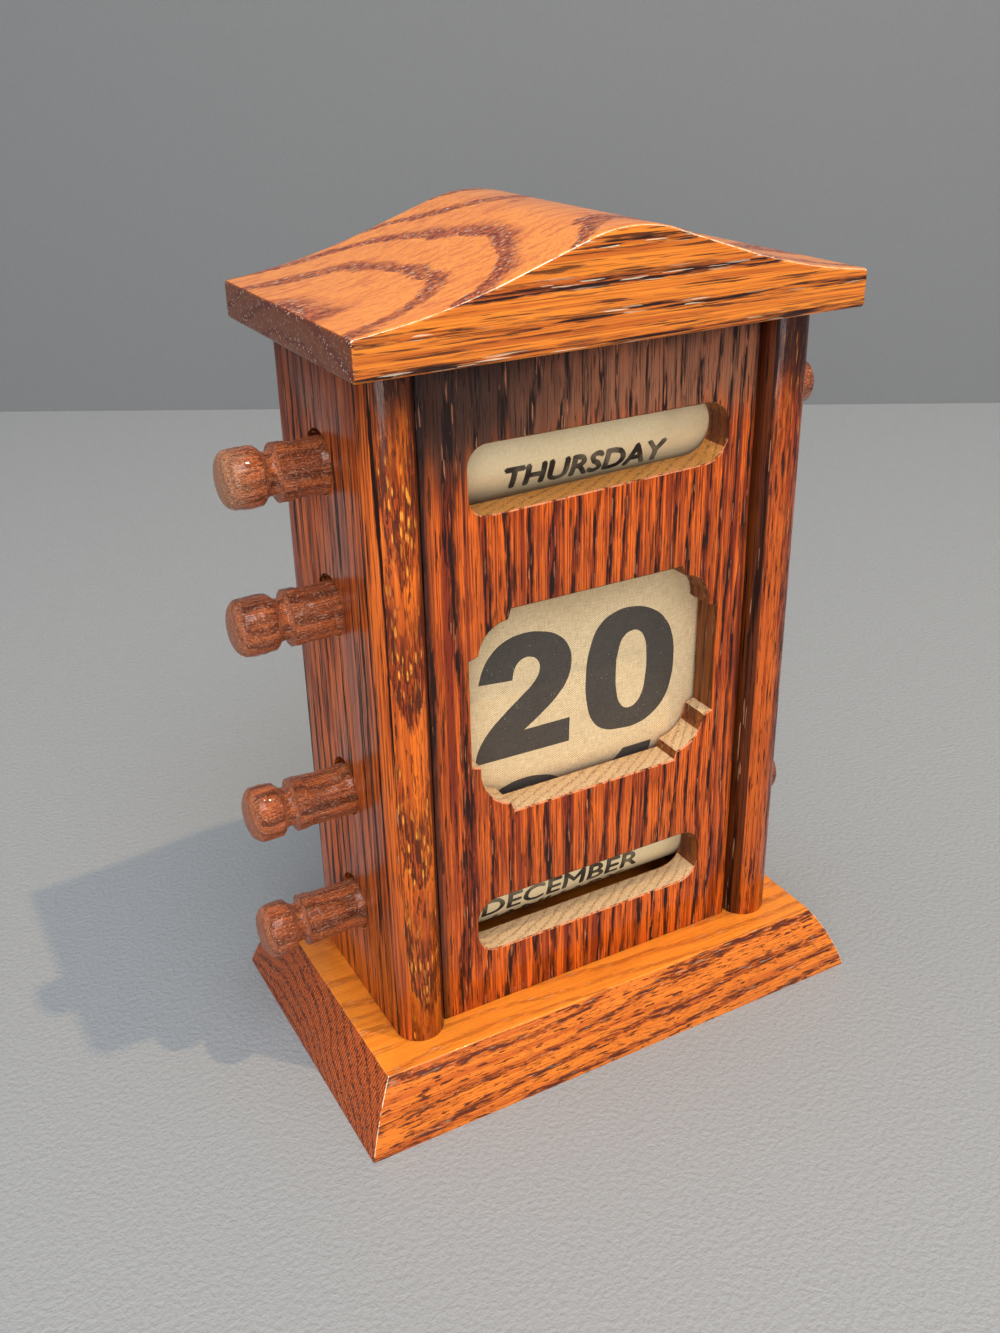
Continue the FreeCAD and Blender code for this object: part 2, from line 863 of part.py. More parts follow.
def group(label, members):
    """Identical fasteners as one sub-part of separate solids."""
    compound = document.addObject("Part::Compound", label)
    compound.Links = members
    document.recompute()
    return keep(compound, label)


def base_screws():
    screws = []
    for number, (across, depth) in enumerate(screw_places(), start=1):
        screw = wood_screw(
            f"base_screw_{number}", dim.base_screw_length, dim.base_screw_radius,
            dim.base_screw_head_radius, dim.base_screw_head_height,
        )
        bind(
            screw,
            Placement__Base__x=across,
            Placement__Base__y=depth,
            Placement__Base__z=dim.base_screw_recess,
        )
        screws.append(screw)
    return group("base_screws", screws)


def roof_dowels():
    dowels = []
    for number, (across, depth) in enumerate(screw_places(), start=1):
        dowel = document.addObject("Part::Cylinder", f"roof_dowel_{number}")
        bind(
            dowel,
            Radius=dim.dowel_radius,
            Height=dim.dowel_in_side + dim.dowel_in_roof,
            Placement__Base__x=across,
            Placement__Base__y=depth,
            Placement__Base__z=body_head - dim.dowel_in_side,
        )
        dowels.append(dowel)
    return group("roof_dowels", dowels)


cleat_middle = inner_half - dim.cleat_width / 2
back_screw_length = dim.back_thickness + dim.cleat_depth - dim.back_screw_end_margin
back_screw_places = [
    (side, height)
    for side in (-cleat_middle, cleat_middle)
    for height in (
        dim.base_height + dim.back_screw_end_distance,
        body_head - dim.back_screw_end_distance,
    )
]


def facing_front():
    """A placement that turns the Z axis to point to the front."""
    return FreeCAD.Placement(FreeCAD.Vector(), FreeCAD.Rotation(FreeCAD.Vector(1, 0, 0), 90))


def back_panel():
    half = inner_half - dim.back_edge_gap
    levels = (dim.base_height + dim.back_edge_gap, body_head - dim.back_edge_gap)
    body = board("back_panel", (-half, half), (back_inner, back_outer), levels)
    sketch = new_sketch(body, "XZ_Plane", -back_outer)
    for across, height in back_screw_places:
        circle(sketch, across, height, dim.back_screw_radius + dim.screw_hole_gap)
    pocket(body, sketch)
    for across, height in back_screw_places:
        countersink(
            body, facing_front(), (across, back_outer, height),
            dim.back_screw_head_radius, dim.back_screw_radius, dim.back_screw_head_height,
        )
    return body


def back_screws():
    screws = []
    for number, (across, height) in enumerate(back_screw_places, start=1):
        screw = wood_screw(
            f"back_screw_{number}", back_screw_length, dim.back_screw_radius,
            dim.back_screw_head_radius, dim.back_screw_head_height,
        )
        screw.Placement = facing_front()
        bind(
            screw,
            Placement__Base__x=across,
            Placement__Base__y=back_outer,
            Placement__Base__z=height,
        )
        screws.append(screw)
    return group("back_screws", screws)


def back_cleat(label, side):
    """An upright strip on the inside of a side board, drilled for the back screws."""
    inner = (inner_half - dim.cleat_width) * side
    outer = inner_half * side
    across = (inner, outer) if side > 0 else (outer, inner)
    levels = (dim.base_height + dim.cleat_end_gap, body_head - dim.cleat_end_gap)
    body = board(label, across, (back_inner - dim.cleat_depth, back_inner), levels)
    sketch = new_sketch(body, "XZ_Plane", -back_inner)
    for spot, height in back_screw_places:
        if spot.value * side > 0:
            circle(sketch, spot, height, dim.back_screw_radius + dim.screw_hole_gap)
    depth = back_screw_length + dim.screw_tip_gap - dim.back_thickness
    pocket(body, sketch, depth, reverse=True)
    return body


def glue_block(label, low):
    """A strip that holds the front panel to the base or to the roof."""
    half = inner_half - dim.glue_block_end_gap
    section = dim.glue_block_section
    return board(label, (-half, half), (panel_back, panel_back + section), (low, low + section))


def check_and_write():
    """Look at every object, then write each sub-part to a file of its own."""
    document.recompute()
    for item in document.Objects:
        if "Invalid" in item.State or "Error" in item.State:
            raise RuntimeError(f"{item.Label} did not compute")
    os.makedirs("parts", exist_ok=True)
    for item in parts:
        if item.Shape.isNull() or not item.Shape.isValid():
            raise RuntimeError(f"{item.Label} has no valid shape")
        item.Shape.exportStep(os.path.join("parts", item.Label + ".step"))
        solids = len(item.Shape.Solids)
        print(f"{item.Label}: {solids} solid(s), {item.Shape.Volume:.1f} mm3")


base_board()
side_board("left_side", -1)
side_board("right_side", 1)
front_panel()
roof_board()
back_panel()
glue_block("bottom_glue_block", dim.base_height)
glue_block("top_glue_block", body_head - dim.glue_block_section)
back_cleat("left_back_cleat", -1)
back_cleat("right_back_cleat", 1)
base_screws()
roof_dowels()
back_screws()
date_band()
for roller_name, roller_place in ROLLERS.items():
    roller(roller_name, roller_place)
check_and_write()
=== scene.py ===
# %% [markdown]
# # A perpetual desk calendar of oak
# Turned knobs in the sides roll the day, the date and the month past windows in the front
# panel. This file dresses the calendar in Blender, one step to a cell: first the solids are
# loaded, then come the camera and the light, then the finishes, and then the pieces.

# %% Load the solids
import math

import bmesh
import bpy
from mathutils import Matrix, Vector, noise


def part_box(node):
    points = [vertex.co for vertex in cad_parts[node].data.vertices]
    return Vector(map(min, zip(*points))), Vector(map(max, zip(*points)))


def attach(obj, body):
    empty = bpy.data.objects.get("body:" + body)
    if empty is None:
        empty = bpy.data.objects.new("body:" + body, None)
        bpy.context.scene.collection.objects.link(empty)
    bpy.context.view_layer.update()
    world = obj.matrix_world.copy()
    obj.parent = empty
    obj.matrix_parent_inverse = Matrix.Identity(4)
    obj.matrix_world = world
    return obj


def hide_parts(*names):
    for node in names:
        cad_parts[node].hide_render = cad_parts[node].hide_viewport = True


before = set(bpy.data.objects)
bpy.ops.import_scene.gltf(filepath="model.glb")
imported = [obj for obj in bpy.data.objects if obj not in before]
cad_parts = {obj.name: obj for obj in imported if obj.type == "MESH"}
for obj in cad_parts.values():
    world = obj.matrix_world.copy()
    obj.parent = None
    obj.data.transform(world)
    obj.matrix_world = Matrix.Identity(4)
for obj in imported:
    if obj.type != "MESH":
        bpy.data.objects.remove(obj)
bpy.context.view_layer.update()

MM = 0.001

# %% [markdown]
# ## The camera
# The photograph is taken from the left and from above, by a phone held almost upright. Its place
# was found by matching the straight edges of the case: three angles in degrees and a place in
# metres. The focal length and the shift are in pixels of a picture 1333 pixels tall, and Blender
# wants them for a sensor whose long side is 36 mm.

# %% Camera
TURN, TILT, ROLL = (math.radians(angle) for angle in (-28.1267, 25.9387, -1.3701))
STANDPOINT = (-0.12029, -0.20478, 0.19346)
FOCAL, SHIFT_X, SHIFT_Y = 1326.33, 5.55, -16.03
LONG_SIDE, SENSOR = 1333, 36


def in_scene(name, data):
    made = bpy.data.objects.new(name, data)
    bpy.context.scene.collection.objects.link(made)
    return made


camera = in_scene("camera", bpy.data.cameras.new("camera"))
bpy.context.scene.camera = camera
backward = Vector((
    math.sin(TURN) * math.cos(TILT), -math.cos(TURN) * math.cos(TILT), math.sin(TILT)
))
level = Vector((0, 0, 1)).cross(backward).normalized()
upright = backward.cross(level)
rightward = math.cos(ROLL) * level + math.sin(ROLL) * upright
upward = math.cos(ROLL) * upright - math.sin(ROLL) * level
pointing = Matrix((rightward, upward, backward)).transposed().to_4x4()
camera.matrix_world = Matrix.Translation(STANDPOINT) @ pointing
camera.data.lens = FOCAL / LONG_SIDE * SENSOR
camera.data.shift_x, camera.data.shift_y = SHIFT_X / LONG_SIDE, SHIFT_Y / LONG_SIDE
camera.data.clip_start = 0.01
print("lens", round(camera.data.lens, 2), "mm")

# %% [markdown]
# ## Sums on sockets
# A finish is a net of nodes. Long nets are hard to read when each node is made by hand, so
# this small class wraps one socket and lets sums be written as plain Python: `1 - mask` adds
# the node that does it. Everything else goes through `node`, which takes the type of a node,
# its settings and what its sockets hold.

# %% Wire and Bench
class Wire:
    """An output socket on which sums can be written."""

    def __init__(self, bench, socket):
        self.bench, self.socket = bench, socket

    def __add__(self, other):
        return self.bench.sum("ADD", self, other)

    def __radd__(self, other):
        return self.bench.sum("ADD", other, self)

    def __sub__(self, other):
        return self.bench.sum("SUBTRACT", self, other)

    def __rsub__(self, other):
        return self.bench.sum("SUBTRACT", other, self)

    def __mul__(self, other):
        return self.bench.sum("MULTIPLY", self, other)

    def __rmul__(self, other):
        return self.bench.sum("MULTIPLY", other, self)

    def __truediv__(self, other):
        return self.bench.sum("DIVIDE", self, other)

    def __rtruediv__(self, other):
        return self.bench.sum("DIVIDE", other, self)


class Bench:
    """A node tree being built."""

    def __init__(self, tree):
        self.tree = tree

    def node(self, kind, settings=None, sockets=None, out=0):
        """Add a node. Sockets are named or numbered and hold a value or a Wire."""
        made = self.tree.nodes.new(kind)
        for name, value in (settings or {}).items():
            setattr(made, name, value)
        for name, value in (sockets or {}).items():
            if isinstance(value, Wire):
                self.tree.links.new(value.socket, made.inputs[name])
            elif isinstance(value, (tuple, list)) and made.inputs[name].type == "RGBA":
                made.inputs[name].default_value = (*value[:3], 1)
            else:
                made.inputs[name].default_value = value
        return Wire(self, made.outputs[out]) if len(made.outputs) else made

    def sum(self, operation, *values):
        return self.node("ShaderNodeMath", {"operation": operation}, dict(enumerate(values)))

    def vector(self, operation, *values):
        settings = {"operation": operation}
        return self.node("ShaderNodeVectorMath", settings, dict(enumerate(values)))

    def join(self, x, y, z):
        return self.node("ShaderNodeCombineXYZ", None, {0: x, 1: y, 2: z})

    def split(self, place):
        made = self.tree.nodes.new("ShaderNodeSeparateXYZ")
        self.tree.links.new(place.socket, made.inputs[0])
        return [Wire(self, socket) for socket in made.outputs]

    def rise(self, value, low, high):
        """0 below low, 1 above high, and smooth in between."""
        settings = {"interpolation_type": "SMOOTHSTEP"}
        return self.node("ShaderNodeMapRange", settings, {0: value, 1: low, 2: high})

    def mix(self, share, first, second):
        sockets = {0: share, 6: first, 7: second}
        return self.node("ShaderNodeMix", {"data_type": "RGBA"}, sockets, out=2)

    def cloud(self, place, scale=1.0, detail=2.0, rough=0.5):
        sockets = {"Vector": place, "Scale": scale, "Detail": detail, "Roughness": rough}
        return self.node("ShaderNodeTexNoise", None, sockets)

    def cells(self, place, scale=1.0, out="Distance"):
        return self.node("ShaderNodeTexVoronoi", None, {"Vector": place, "Scale": scale}, out)


def begin_finish(name):
    """A new material with an empty bench, and its place in mm as a Wire."""
    material = bpy.data.materials.new(name)
    material.use_nodes = True
    material.node_tree.nodes.clear()
    bench = Bench(material.node_tree)
    metres = bench.node("ShaderNodeTexCoord", out="Object")
    return material, bench, bench.vector("MULTIPLY", metres, (1 / MM,) * 3)


def end_finish(bench, height=None, depth=0.0, **sockets):
    """The surface itself. height is a Wire for the bump, and depth its size in mm."""
    sockets = {name.replace("_", " "): value for name, value in sockets.items()}
    if height is not None:
        bump = {"Height": height, "Distance": depth * MM, "Strength": 1.0}
        sockets["Normal"] = bench.node("ShaderNodeBump", None, bump)
    surface = bench.node("ShaderNodeBsdfPrincipled", None, sockets)
    bench.node("ShaderNodeOutputMaterial", None, {"Surface": surface})


print("benches ready")

# %% [markdown]
# ## Varnished oak
# Oak has wide pores at the start of each year's growth. They drink the stain, so its face shows
# dark broken lines where the years reach the surface, with smooth orange wood between them, and
# its end is dark all over. The finish below is a tree in three dimensions: the distance from
# the pith gives the year, long thin cells give the pores, and long clouds give the fibres. Each
# board is cut from its own place in such a tree, so faces, edges and ends match at every corner
# without any unwrapping.

# %% Oak
AXES = {"x": (0, 1, 2), "y": (1, 2, 0), "z": (2, 0, 1)}


def oak(name, grain, pith, lean, year, tones, seed, waver=2.0, spring=0.3, dark=0.8, dash=0.08,
        stroke=1.6, crowd=1.0, stray=0.8, streaks=0.6, patches=0.4, worn_and_lit=0.0, fleck=0.0, lips=0.5,
        saw=0.0, grit=0.0, veils=(), gloss=0.22, coat=0.3, shine=0.08, glow=0.25, bump=0.18):
    """Oak with its fibres along one axis.

    pith is where the middle of the tree passes, and lean how far it moves for each mm along
    the grain. tones are the summer wood, the spring wood, the pores, the pale edges and glints,
    which are wear and painted highlights, and the ends. spring is the share of a year that the
    spring wood takes. dash and stroke are the pores to a mm along and across the grain, crowd
    their share in the springs and stray between them. lips are painted highlights, glints beside
    the pores, and fleck is painted highlights too, short light dashes in the springs.
    A veil is a share, a tone and one or more ranges, each an axis with the places in mm where
    the veil begins and where it is full.
    """
    summer_tone, spring_tone, pore_tone, worn_and_glint_tone, end_tone = tones
    material, bench, place = begin_finish(name)
    mix, rise, cloud, cells = bench.mix, bench.rise, bench.cloud, bench.cells
    join, split = bench.join, bench.split
    here = split(place)
    shift = (seed * 0.37, seed * 0.71, seed * 0.13)
    place = bench.vector("ADD", place, shift)
    along, across, deep = (split(place)[axis] for axis in AXES[grain])
    shift = [shift[axis] for axis in AXES[grain]]

    def drawn(length, width, detail=2.0):
        """A cloud with this many features to a mm along the grain and across it."""
        return cloud(join(along * length, across * width, deep * width), 1.0, detail)

    # The year: how far the wood is from the pith, bent by slow clouds
    slow = join(along * 0.02, across * 0.06, deep * 0.06)
    bend_across = cloud(slow, 1.0, 2.0)
    bend_deep = cloud(bench.vector("ADD", slow, (7.7, 3.1, 5.9)), 1.0, 2.0)
    start = along - shift[0]
    off_across = across - (shift[1] + pith[0]) - start * lean[0] + (bend_across - 0.5) * waver
    off_deep = deep - (shift[2] + pith[1]) - start * lean[1] + (bend_deep - 0.5) * waver
    radius = bench.sum("SQRT", off_across * off_across + off_deep * off_deep)
    age = radius / year + (bend_across + bend_deep) * 0.6
    good_year = bench.node(
        "ShaderNodeTexWhiteNoise", {"noise_dimensions": "1D"}, {"W": bench.sum("FLOOR", age)}
    )
    ragged = drawn(0.25, 1.6)
    season = bench.sum("FRACT", age) + (ragged - 0.5) * 0.3
    late = rise(season, spring * 0.7, spring * (1.0 + 0.8 * good_year))
    in_spring = rise(season, -0.02, 0.06) * (1 - late)
    # Pores: strokes that crowd in spring, and a few between the springs
    strokes = drawn(dash, stroke, 3.0)
    hairs = drawn(dash * 1.6, stroke * 2.6)
    many = bench.sum("MAXIMUM", rise(strokes, 0.49, 0.55), rise(hairs, 0.52, 0.6) * 0.7)
    few = bench.sum("MAXIMUM", rise(strokes, 0.60, 0.66), rise(hairs, 0.61, 0.68) * 0.6)
    ink = few * stray * (1 - in_spring) + many * crowd * in_spring
    # Fibres and slow patches
    fibre = drawn(0.05, 4.0, 3.0)
    stripe = drawn(0.012, 0.7, 3.0)
    patch = cloud(place, 0.06, 2.0)
    tone = mix(rise(fibre, 0.42, 0.66) * streaks, summer_tone, spring_tone)
    tone = mix(rise(stripe, 0.48, 0.66) * streaks, tone, spring_tone)
    tone = mix(rise(patch, 0.48, 0.7) * patches, tone, spring_tone)
    tone = mix(in_spring * (0.5 + good_year * 0.5) * dark, tone, spring_tone)
    # The ends, with the marks of the saw across them
    facing = split(bench.node("ShaderNodeTexCoord", out="Normal"))[AXES[grain][0]]
    end = rise(bench.sum("ABSOLUTE", facing), 0.45, 0.75)
    tone = mix(end * 0.9, tone, end_tone)
    marks = bench.sum("SINE", (across + ragged * 0.5) * 8.4 + bend_deep * 3) * 0.5 + 0.5
    marks = marks * end * saw
    tone = mix(marks * 0.75, tone, pore_tone)
    # The veils, each where all of its ranges meet: painted shade, and on one knob wear with a painted
    # highlight
    for share, veil_tone, *ranges in veils:
        for axis, begins, ends in ranges:
            wobble = (patch + stripe - 1) * abs(ends - begins) * 0.8
            spot = here["xyz".index(axis)] + wobble
            veil = rise(spot, min(begins, ends), max(begins, ends))
            share = (veil if begins < ends else 1 - veil) * share
        lit = mix(rise(fibre, 0.35, 0.6), tuple(c * 0.5 for c in veil_tone), veil_tone)
        tone = mix(share, tone, lit)
    tone = mix(ink, tone, pore_tone)
    # Painted highlights: glints on the lips of the pores, and short light dashes in the springs
    glint = join(along * (dash * 1.5 + 0.15), across * 4.5, deep * 4.5)
    glint = split(cells(glint, 1.0, "Color"))[0]
    glint = rise(glint, 0.93, 0.96) * (in_spring * 0.9 + end * 0.3)
    tone = mix(glint * lips, tone, worn_and_glint_tone)
    if fleck:
        glint_dash_place = join(along * 0.24, across * 1.3, deep * 1.3)
        some = split(cells(glint_dash_place, 1.0, "Color"))[1]
        near = 1 - rise(cells(glint_dash_place), 0.18, 0.32)
        tone = mix(rise(some, 0.2, 0.3) * near * in_spring * fleck, tone, worn_and_glint_tone)
    if worn_and_lit:
        scuff = cloud(place, 0.7, 4.0, 0.65)
        tone = mix(rise(scuff, 0.38, 0.52) * worn_and_lit, tone, worn_and_glint_tone)
    height = (1 - ink) + fibre * 0.4 + cloud(place, 0.3, 3.0) * 0.8 - marks * 0.6
    if grit:
        speckle = cloud(join(along * 2.4, across * 4.4, deep * 4.4), 1.0, 3.0, 0.7)
        height = height + speckle * grit
        tone = mix(rise(speckle, 0.54, 0.66) * 0.6, tone, worn_and_glint_tone)
        tone = mix((1 - rise(speckle, 0.32, 0.47)) * 0.6, tone, pore_tone)
    end_finish(
        bench, height, bump, Base_Color=tone, Roughness=ink * 0.25 + gloss,
        Coat_Weight=(1 - ink * 0.7) * (1 - end * 0.8) * coat, Coat_Roughness=shine,
        Specular_IOR_Level=glow,
    )
    return material


print("oak ready")

# %% [markdown]
# ## The boards' own woods
# No two boards are alike. The panel is cut so that its years stand on edge, which gives the
# upright stripes, the roof is cut flat, which gives the arches on its top, and the ends of the
# base keep the marks of the saw. The ledges of the windows were sawn after the panel was
# stained, so their wood is pale. The walls beside them are darkened with painted shade, and
# under the eaves, inside the case and along the joints a veil of painted shade lies over the
# wood, with a greyed band of painted shadow and painted sheen just below the eaves.

# %% Woods
PORE = (0.016, 0.0045, 0.003)
# Painted shade, and a greyed tone of painted shadow and painted sheen for the band below the eaves.
PAINTED_SHADE, SHADOW_AND_SHEEN_TONE = (0.034, 0.009, 0.004), (0.360, 0.150, 0.076)
END = (0.17, 0.042, 0.020)
panel_tones = ((0.84, 0.148, 0.011), (0.20, 0.018, 0.003), PORE, (0.90, 0.32, 0.14), END)
side_tones = ((0.82, 0.165, 0.022), (0.30, 0.042, 0.008), PORE, (0.80, 0.40, 0.20), END)
stile_tones = (
    (0.93, 0.190, 0.010), (0.33, 0.036, 0.003), (0.04, 0.007, 0.003), (0.98, 0.36, 0.04), END,
)
roof_tones = (
    (1.0, 0.340, 0.062), (0.60, 0.120, 0.030), (0.19, 0.040, 0.028), (1.0, 0.80, 0.60),
    (0.130, 0.025, 0.011),
)
gable_tones = (
    (0.90, 0.260, 0.026), (0.42, 0.066, 0.008), (0.025, 0.005, 0.003), (1.0, 0.80, 0.58), END,
)
base_tones = (
    (0.84, 0.220, 0.022), (0.44, 0.070, 0.010), (0.115, 0.020, 0.006), (1.0, 0.80, 0.52),
    (0.68, 0.120, 0.018),
)
base_top_tones = ((0.92, 0.290, 0.030), (0.62, 0.130, 0.012), *base_tones[2:])
pale_tones = (
    (1.0, 0.66, 0.34), (0.86, 0.46, 0.20), (0.42, 0.14, 0.05), (1.0, 0.84, 0.64),
    (1.0, 0.66, 0.34),
)
gold_tones = (
    (0.98, 0.40, 0.06), (0.60, 0.17, 0.03), (0.16, 0.035, 0.01), (1.0, 0.75, 0.5),
    (0.98, 0.40, 0.06),
)
# The walls inside the windows: a dark wood that is painted shade.
shaded_wall_tones = (
    (0.30, 0.085, 0.014), (0.14, 0.030, 0.007), PORE, (0.8, 0.5, 0.3), (0.30, 0.085, 0.014),
)


def board_woods(name, **facts):
    """The wood of a board and of its worn edges."""
    return [oak(name, **facts), oak(name + "_edge", worn_and_lit=0.95, **facts)]


PANEL = dict(
    grain="z", pith=(-74, 105), lean=(0.02, 0.0), year=1.9, waver=4.0, seed=3, streaks=0.9,
)
SAWN = dict(dark=0.4, stroke=2.2, stray=0.3, crowd=0.55, bump=0.3)
# Painted shade under the eaves, reaching lower to the left of the day window, and along the stiles,
# with a greyed band of painted shadow and painted sheen below the eaves.
PANEL_SHADE_VEILS = [
    (0.8, SHADOW_AND_SHEEN_TONE, ("z", 123, 133)), (0.95, PAINTED_SHADE, ("z", 139, 145)),
    (0.9, PAINTED_SHADE, ("z", 116, 134), ("x", 4, -24)), (0.9, PAINTED_SHADE, ("x", 32.0, 34.4)),
    (0.9, PAINTED_SHADE, ("x", -32.0, -34.4)),
]
panel_woods = board_woods(
    "panel_oak", tones=panel_tones, shine=0.12, dash=0.11, stroke=1.9, dark=0.9,
    veils=PANEL_SHADE_VEILS, **PANEL
)
# The window walls get the dark wood of painted shade.
for name, tones, gloss, coat, grit in (
    ("ledge_bare", pale_tones, 0.7, 0.0, 1.6), ("ledge_gold", gold_tones, 0.4, 0.2, 1.6),
    ("window_wall_shade", shaded_wall_tones, 0.5, 0.1, 0.0),
):
    wood = oak(name, tones=tones, gloss=gloss, coat=coat, grit=grit, **SAWN, **PANEL)
    panel_woods.append(wood)
STILES = dict(grain="z", year=3.0, stroke=2.1, patches=0.3, waver=3.0)
FLATS = dict(
    grain="z", tones=side_tones, year=3.4, dark=0.7, streaks=0.9, stroke=1.4, dash=0.04, stray=1.0,
    coat=0.22, shine=0.03, glow=0.12,
)
left_woods = board_woods(
    "left_oak", pith=(-41, 6), lean=(0.01, 0.10), seed=11,
    tones=stile_tones, spring=0.6, dash=0.22, fleck=1.0, crowd=0.85,
    # Painted shade under the eaves, and darker towards the bottom.
    veils=[(0.85, PAINTED_SHADE, ("z", 128, 140)), (0.5, PAINTED_SHADE, ("z", 34, 10))], **STILES
)
left_woods.append(oak(
    "left_flat", pith=(-60, 66), lean=(0.01, 0.01), seed=11,
    # Painted shade under the eaves and on the inner face, inside the case.
    veils=[(0.5, PAINTED_SHADE, ("z", 120, 146)), (0.85, PAINTED_SHADE, ("x", -38, -36))], **FLATS
))
right_woods = board_woods(
    "right_oak", pith=(50, 22), lean=(0.05, -0.03), seed=17,
    tones=((0.68, 0.130, 0.012), *stile_tones[1:]),
    spring=0.5, dash=0.14, streaks=0.9, dark=0.9, stray=1.0,
    # Painted shade under the eaves.
    veils=[(0.85, PAINTED_SHADE, ("z", 126, 136))], **STILES
)
right_woods.append(oak(
    "right_flat", pith=(64, 40), lean=(0.01, -0.02), seed=17,
    # Painted shade on the inner face, inside the case.
    veils=[(0.85, PAINTED_SHADE, ("x", 38, 36))], **FLATS
))
ROOF = dict(
    grain="x", pith=(-4, 96), lean=(0.02, 0.0), year=4.4, seed=23, waver=1.6, spring=0.26,
    patches=0.2, lips=0.7,
)
roof_woods = board_woods(
    "roof_oak", tones=roof_tones, dash=0.5, stroke=2.0, dark=0.9, streaks=0.6, stray=0.2, **ROOF
)
roof_woods.append(oak(
    "roof_gable", tones=gable_tones, dash=0.06, stroke=1.9, streaks=0.6, stray=0.8, dark=0.5,
    **ROOF
))
BASE = dict(
    grain="x", pith=(14, -46), lean=(-0.03, 0.03), year=2.2, seed=31, waver=5.0, patches=0.2,
    dash=0.28, coat=0.2, lips=0.2,
)
base_woods = board_woods(
    "base_oak", tones=base_tones, saw=0.9, stroke=2.0, streaks=0.6, stray=1.0, **BASE
)
base_woods.append(oak(
    "base_top", tones=base_top_tones, stroke=2.0, dark=0.5, streaks=0.3, crowd=0.3, stray=0.1, **BASE
))
back_woods = board_woods(
    "back_oak", grain="z", pith=(10, 80), lean=(0.02, 0.05), year=3.0, tones=side_tones, seed=41
)
print("woods:", [wood.name for wood in bpy.data.materials if "oak" in wood.name])

# %% [markdown]
# ## Wood that nobody sees
# Drums, blocks, cleats and dowels are bare. They share one pale wood, cut along X or along Z.
# The spindles are turned from a finer wood, and hands have roughened their varnish.

# %% Bare woods
bare_x, bare_z = (
    oak(
        "bare_wood_" + grain, grain=grain, pith=pith, lean=(0.01, 0.02), year=2.4,
        tones=pale_tones, seed=seed, gloss=0.75, coat=0.0,
    )
    for grain, pith, seed in (("x", (9, -22), 47), ("z", (-14, 31), 53))
)
knob_tones = (
    (0.82, 0.190, 0.045), (0.17, 0.025, 0.008), (0.018, 0.004, 0.002), (1.0, 0.62, 0.40),
    (0.66, 0.180, 0.070),
)


def knob_wood(name, middle, seed, veils=()):
    """Turned wood, whose years run round a line beside the spindle's own axis."""
    return oak(
        name, grain="x", pith=(middle[0] + 17, middle[1] - 9), lean=(0.03, 0.02), year=1.7,
        tones=knob_tones, seed=seed, veils=veils, gloss=0.26, coat=0.5, shine=0.07, glow=0.3,
        waver=1.2, grit=2.2, bump=0.32, stroke=3.4, dash=0.4, dark=0.5, stray=0.5, crowd=0.5,
    )


print("bare woods ready")

# %% [markdown]
# ## Cloth, paper, ink and steel
# The band is a fine bookbinder's cloth. Its weave is drawn on the cloth's own map, in mm, so it
# bends with the cloth. Ink takes the weave too, and wears off its high spots.

# %% Cloth and ink
CLOTH_TONE, CLOTH_SHADE = (0.94, 0.71, 0.42), (0.58, 0.40, 0.20)
PAPER_TONE = (0.97, 0.80, 0.50)
WEAVE = 0.44
MAP = 100  # mm to one unit of the cloth's map


def woven(name, high, low, speckle=0.0, speckle_tone=(1, 1, 1), rough=0.85):
    """Twill on the map named flat, which holds mm across and along the cloth."""
    material, bench, place = begin_finish(name)
    flat = bench.node("ShaderNodeUVMap", {"uv_map": "flat"})
    flat_x, flat_y, _ = bench.split(bench.vector("MULTIPLY", flat, (MAP,) * 3))
    slub = bench.cloud(bench.join(flat_x * 0.5, flat_y * 4.0, 0.0), 1.0, 2.0)
    slub_up = bench.cloud(bench.join(flat_x * 4.0, flat_y * 0.5, 0.0), 1.0, 2.0)
    warp = bench.sum("SINE", flat_x * (2 * math.pi / WEAVE) + slub * 2.0)
    weft = bench.sum("SINE", flat_y * (2 * math.pi / WEAVE) + slub_up * 2.0)
    thread = warp * weft * 0.5 + 0.5
    stain = bench.cloud(place, 0.07, 3.0)
    tone = bench.mix(bench.rise(thread + slub + slub_up, 1.0, 1.9), low, high)
    tone = bench.mix(bench.rise(stain, 0.4, 0.8) * 0.35, tone, low)
    if speckle:
        fleck = bench.cells(place, 1.3)
        near = 1 - bench.rise(fleck, 0.05, 0.16)
        rare = bench.rise(bench.cloud(place, 0.5, 2.0), 0.56, 0.62)
        tone = bench.mix(near * rare * speckle, tone, speckle_tone)
    end_finish(bench, thread + slub * 0.6, 0.05, Base_Color=tone, Roughness=rough,
               Sheen_Weight=0.15)
    return material


band_cloth = woven("band_cloth", CLOTH_TONE, CLOTH_SHADE)
roll_cloth = woven("roll_cloth", CLOTH_TONE, CLOTH_SHADE)
band_ink = woven(
    "band_ink", (0.085, 0.064, 0.046), (0.034, 0.026, 0.020), speckle=0.9,
    speckle_tone=(0.5, 0.46, 0.38), rough=0.6,
)


def paper():
    """Varnished paper that has yellowed in blotches."""
    material, bench, place = begin_finish("label_paper")
    fibres = bench.cloud(place, 2.6, 4.0, 0.6)
    blotch = bench.cloud(place, 0.12, 2.0)
    tone = bench.mix(bench.rise(fibres, 0.35, 0.65), (0.90, 0.71, 0.41), PAPER_TONE)
    tone = bench.mix(bench.rise(blotch, 0.45, 0.75) * 0.4, tone, (0.66, 0.50, 0.28))
    end_finish(bench, fibres, 0.02, Base_Color=tone, Roughness=0.55, Coat_Weight=0.15,
               Coat_Roughness=0.3)
    return material


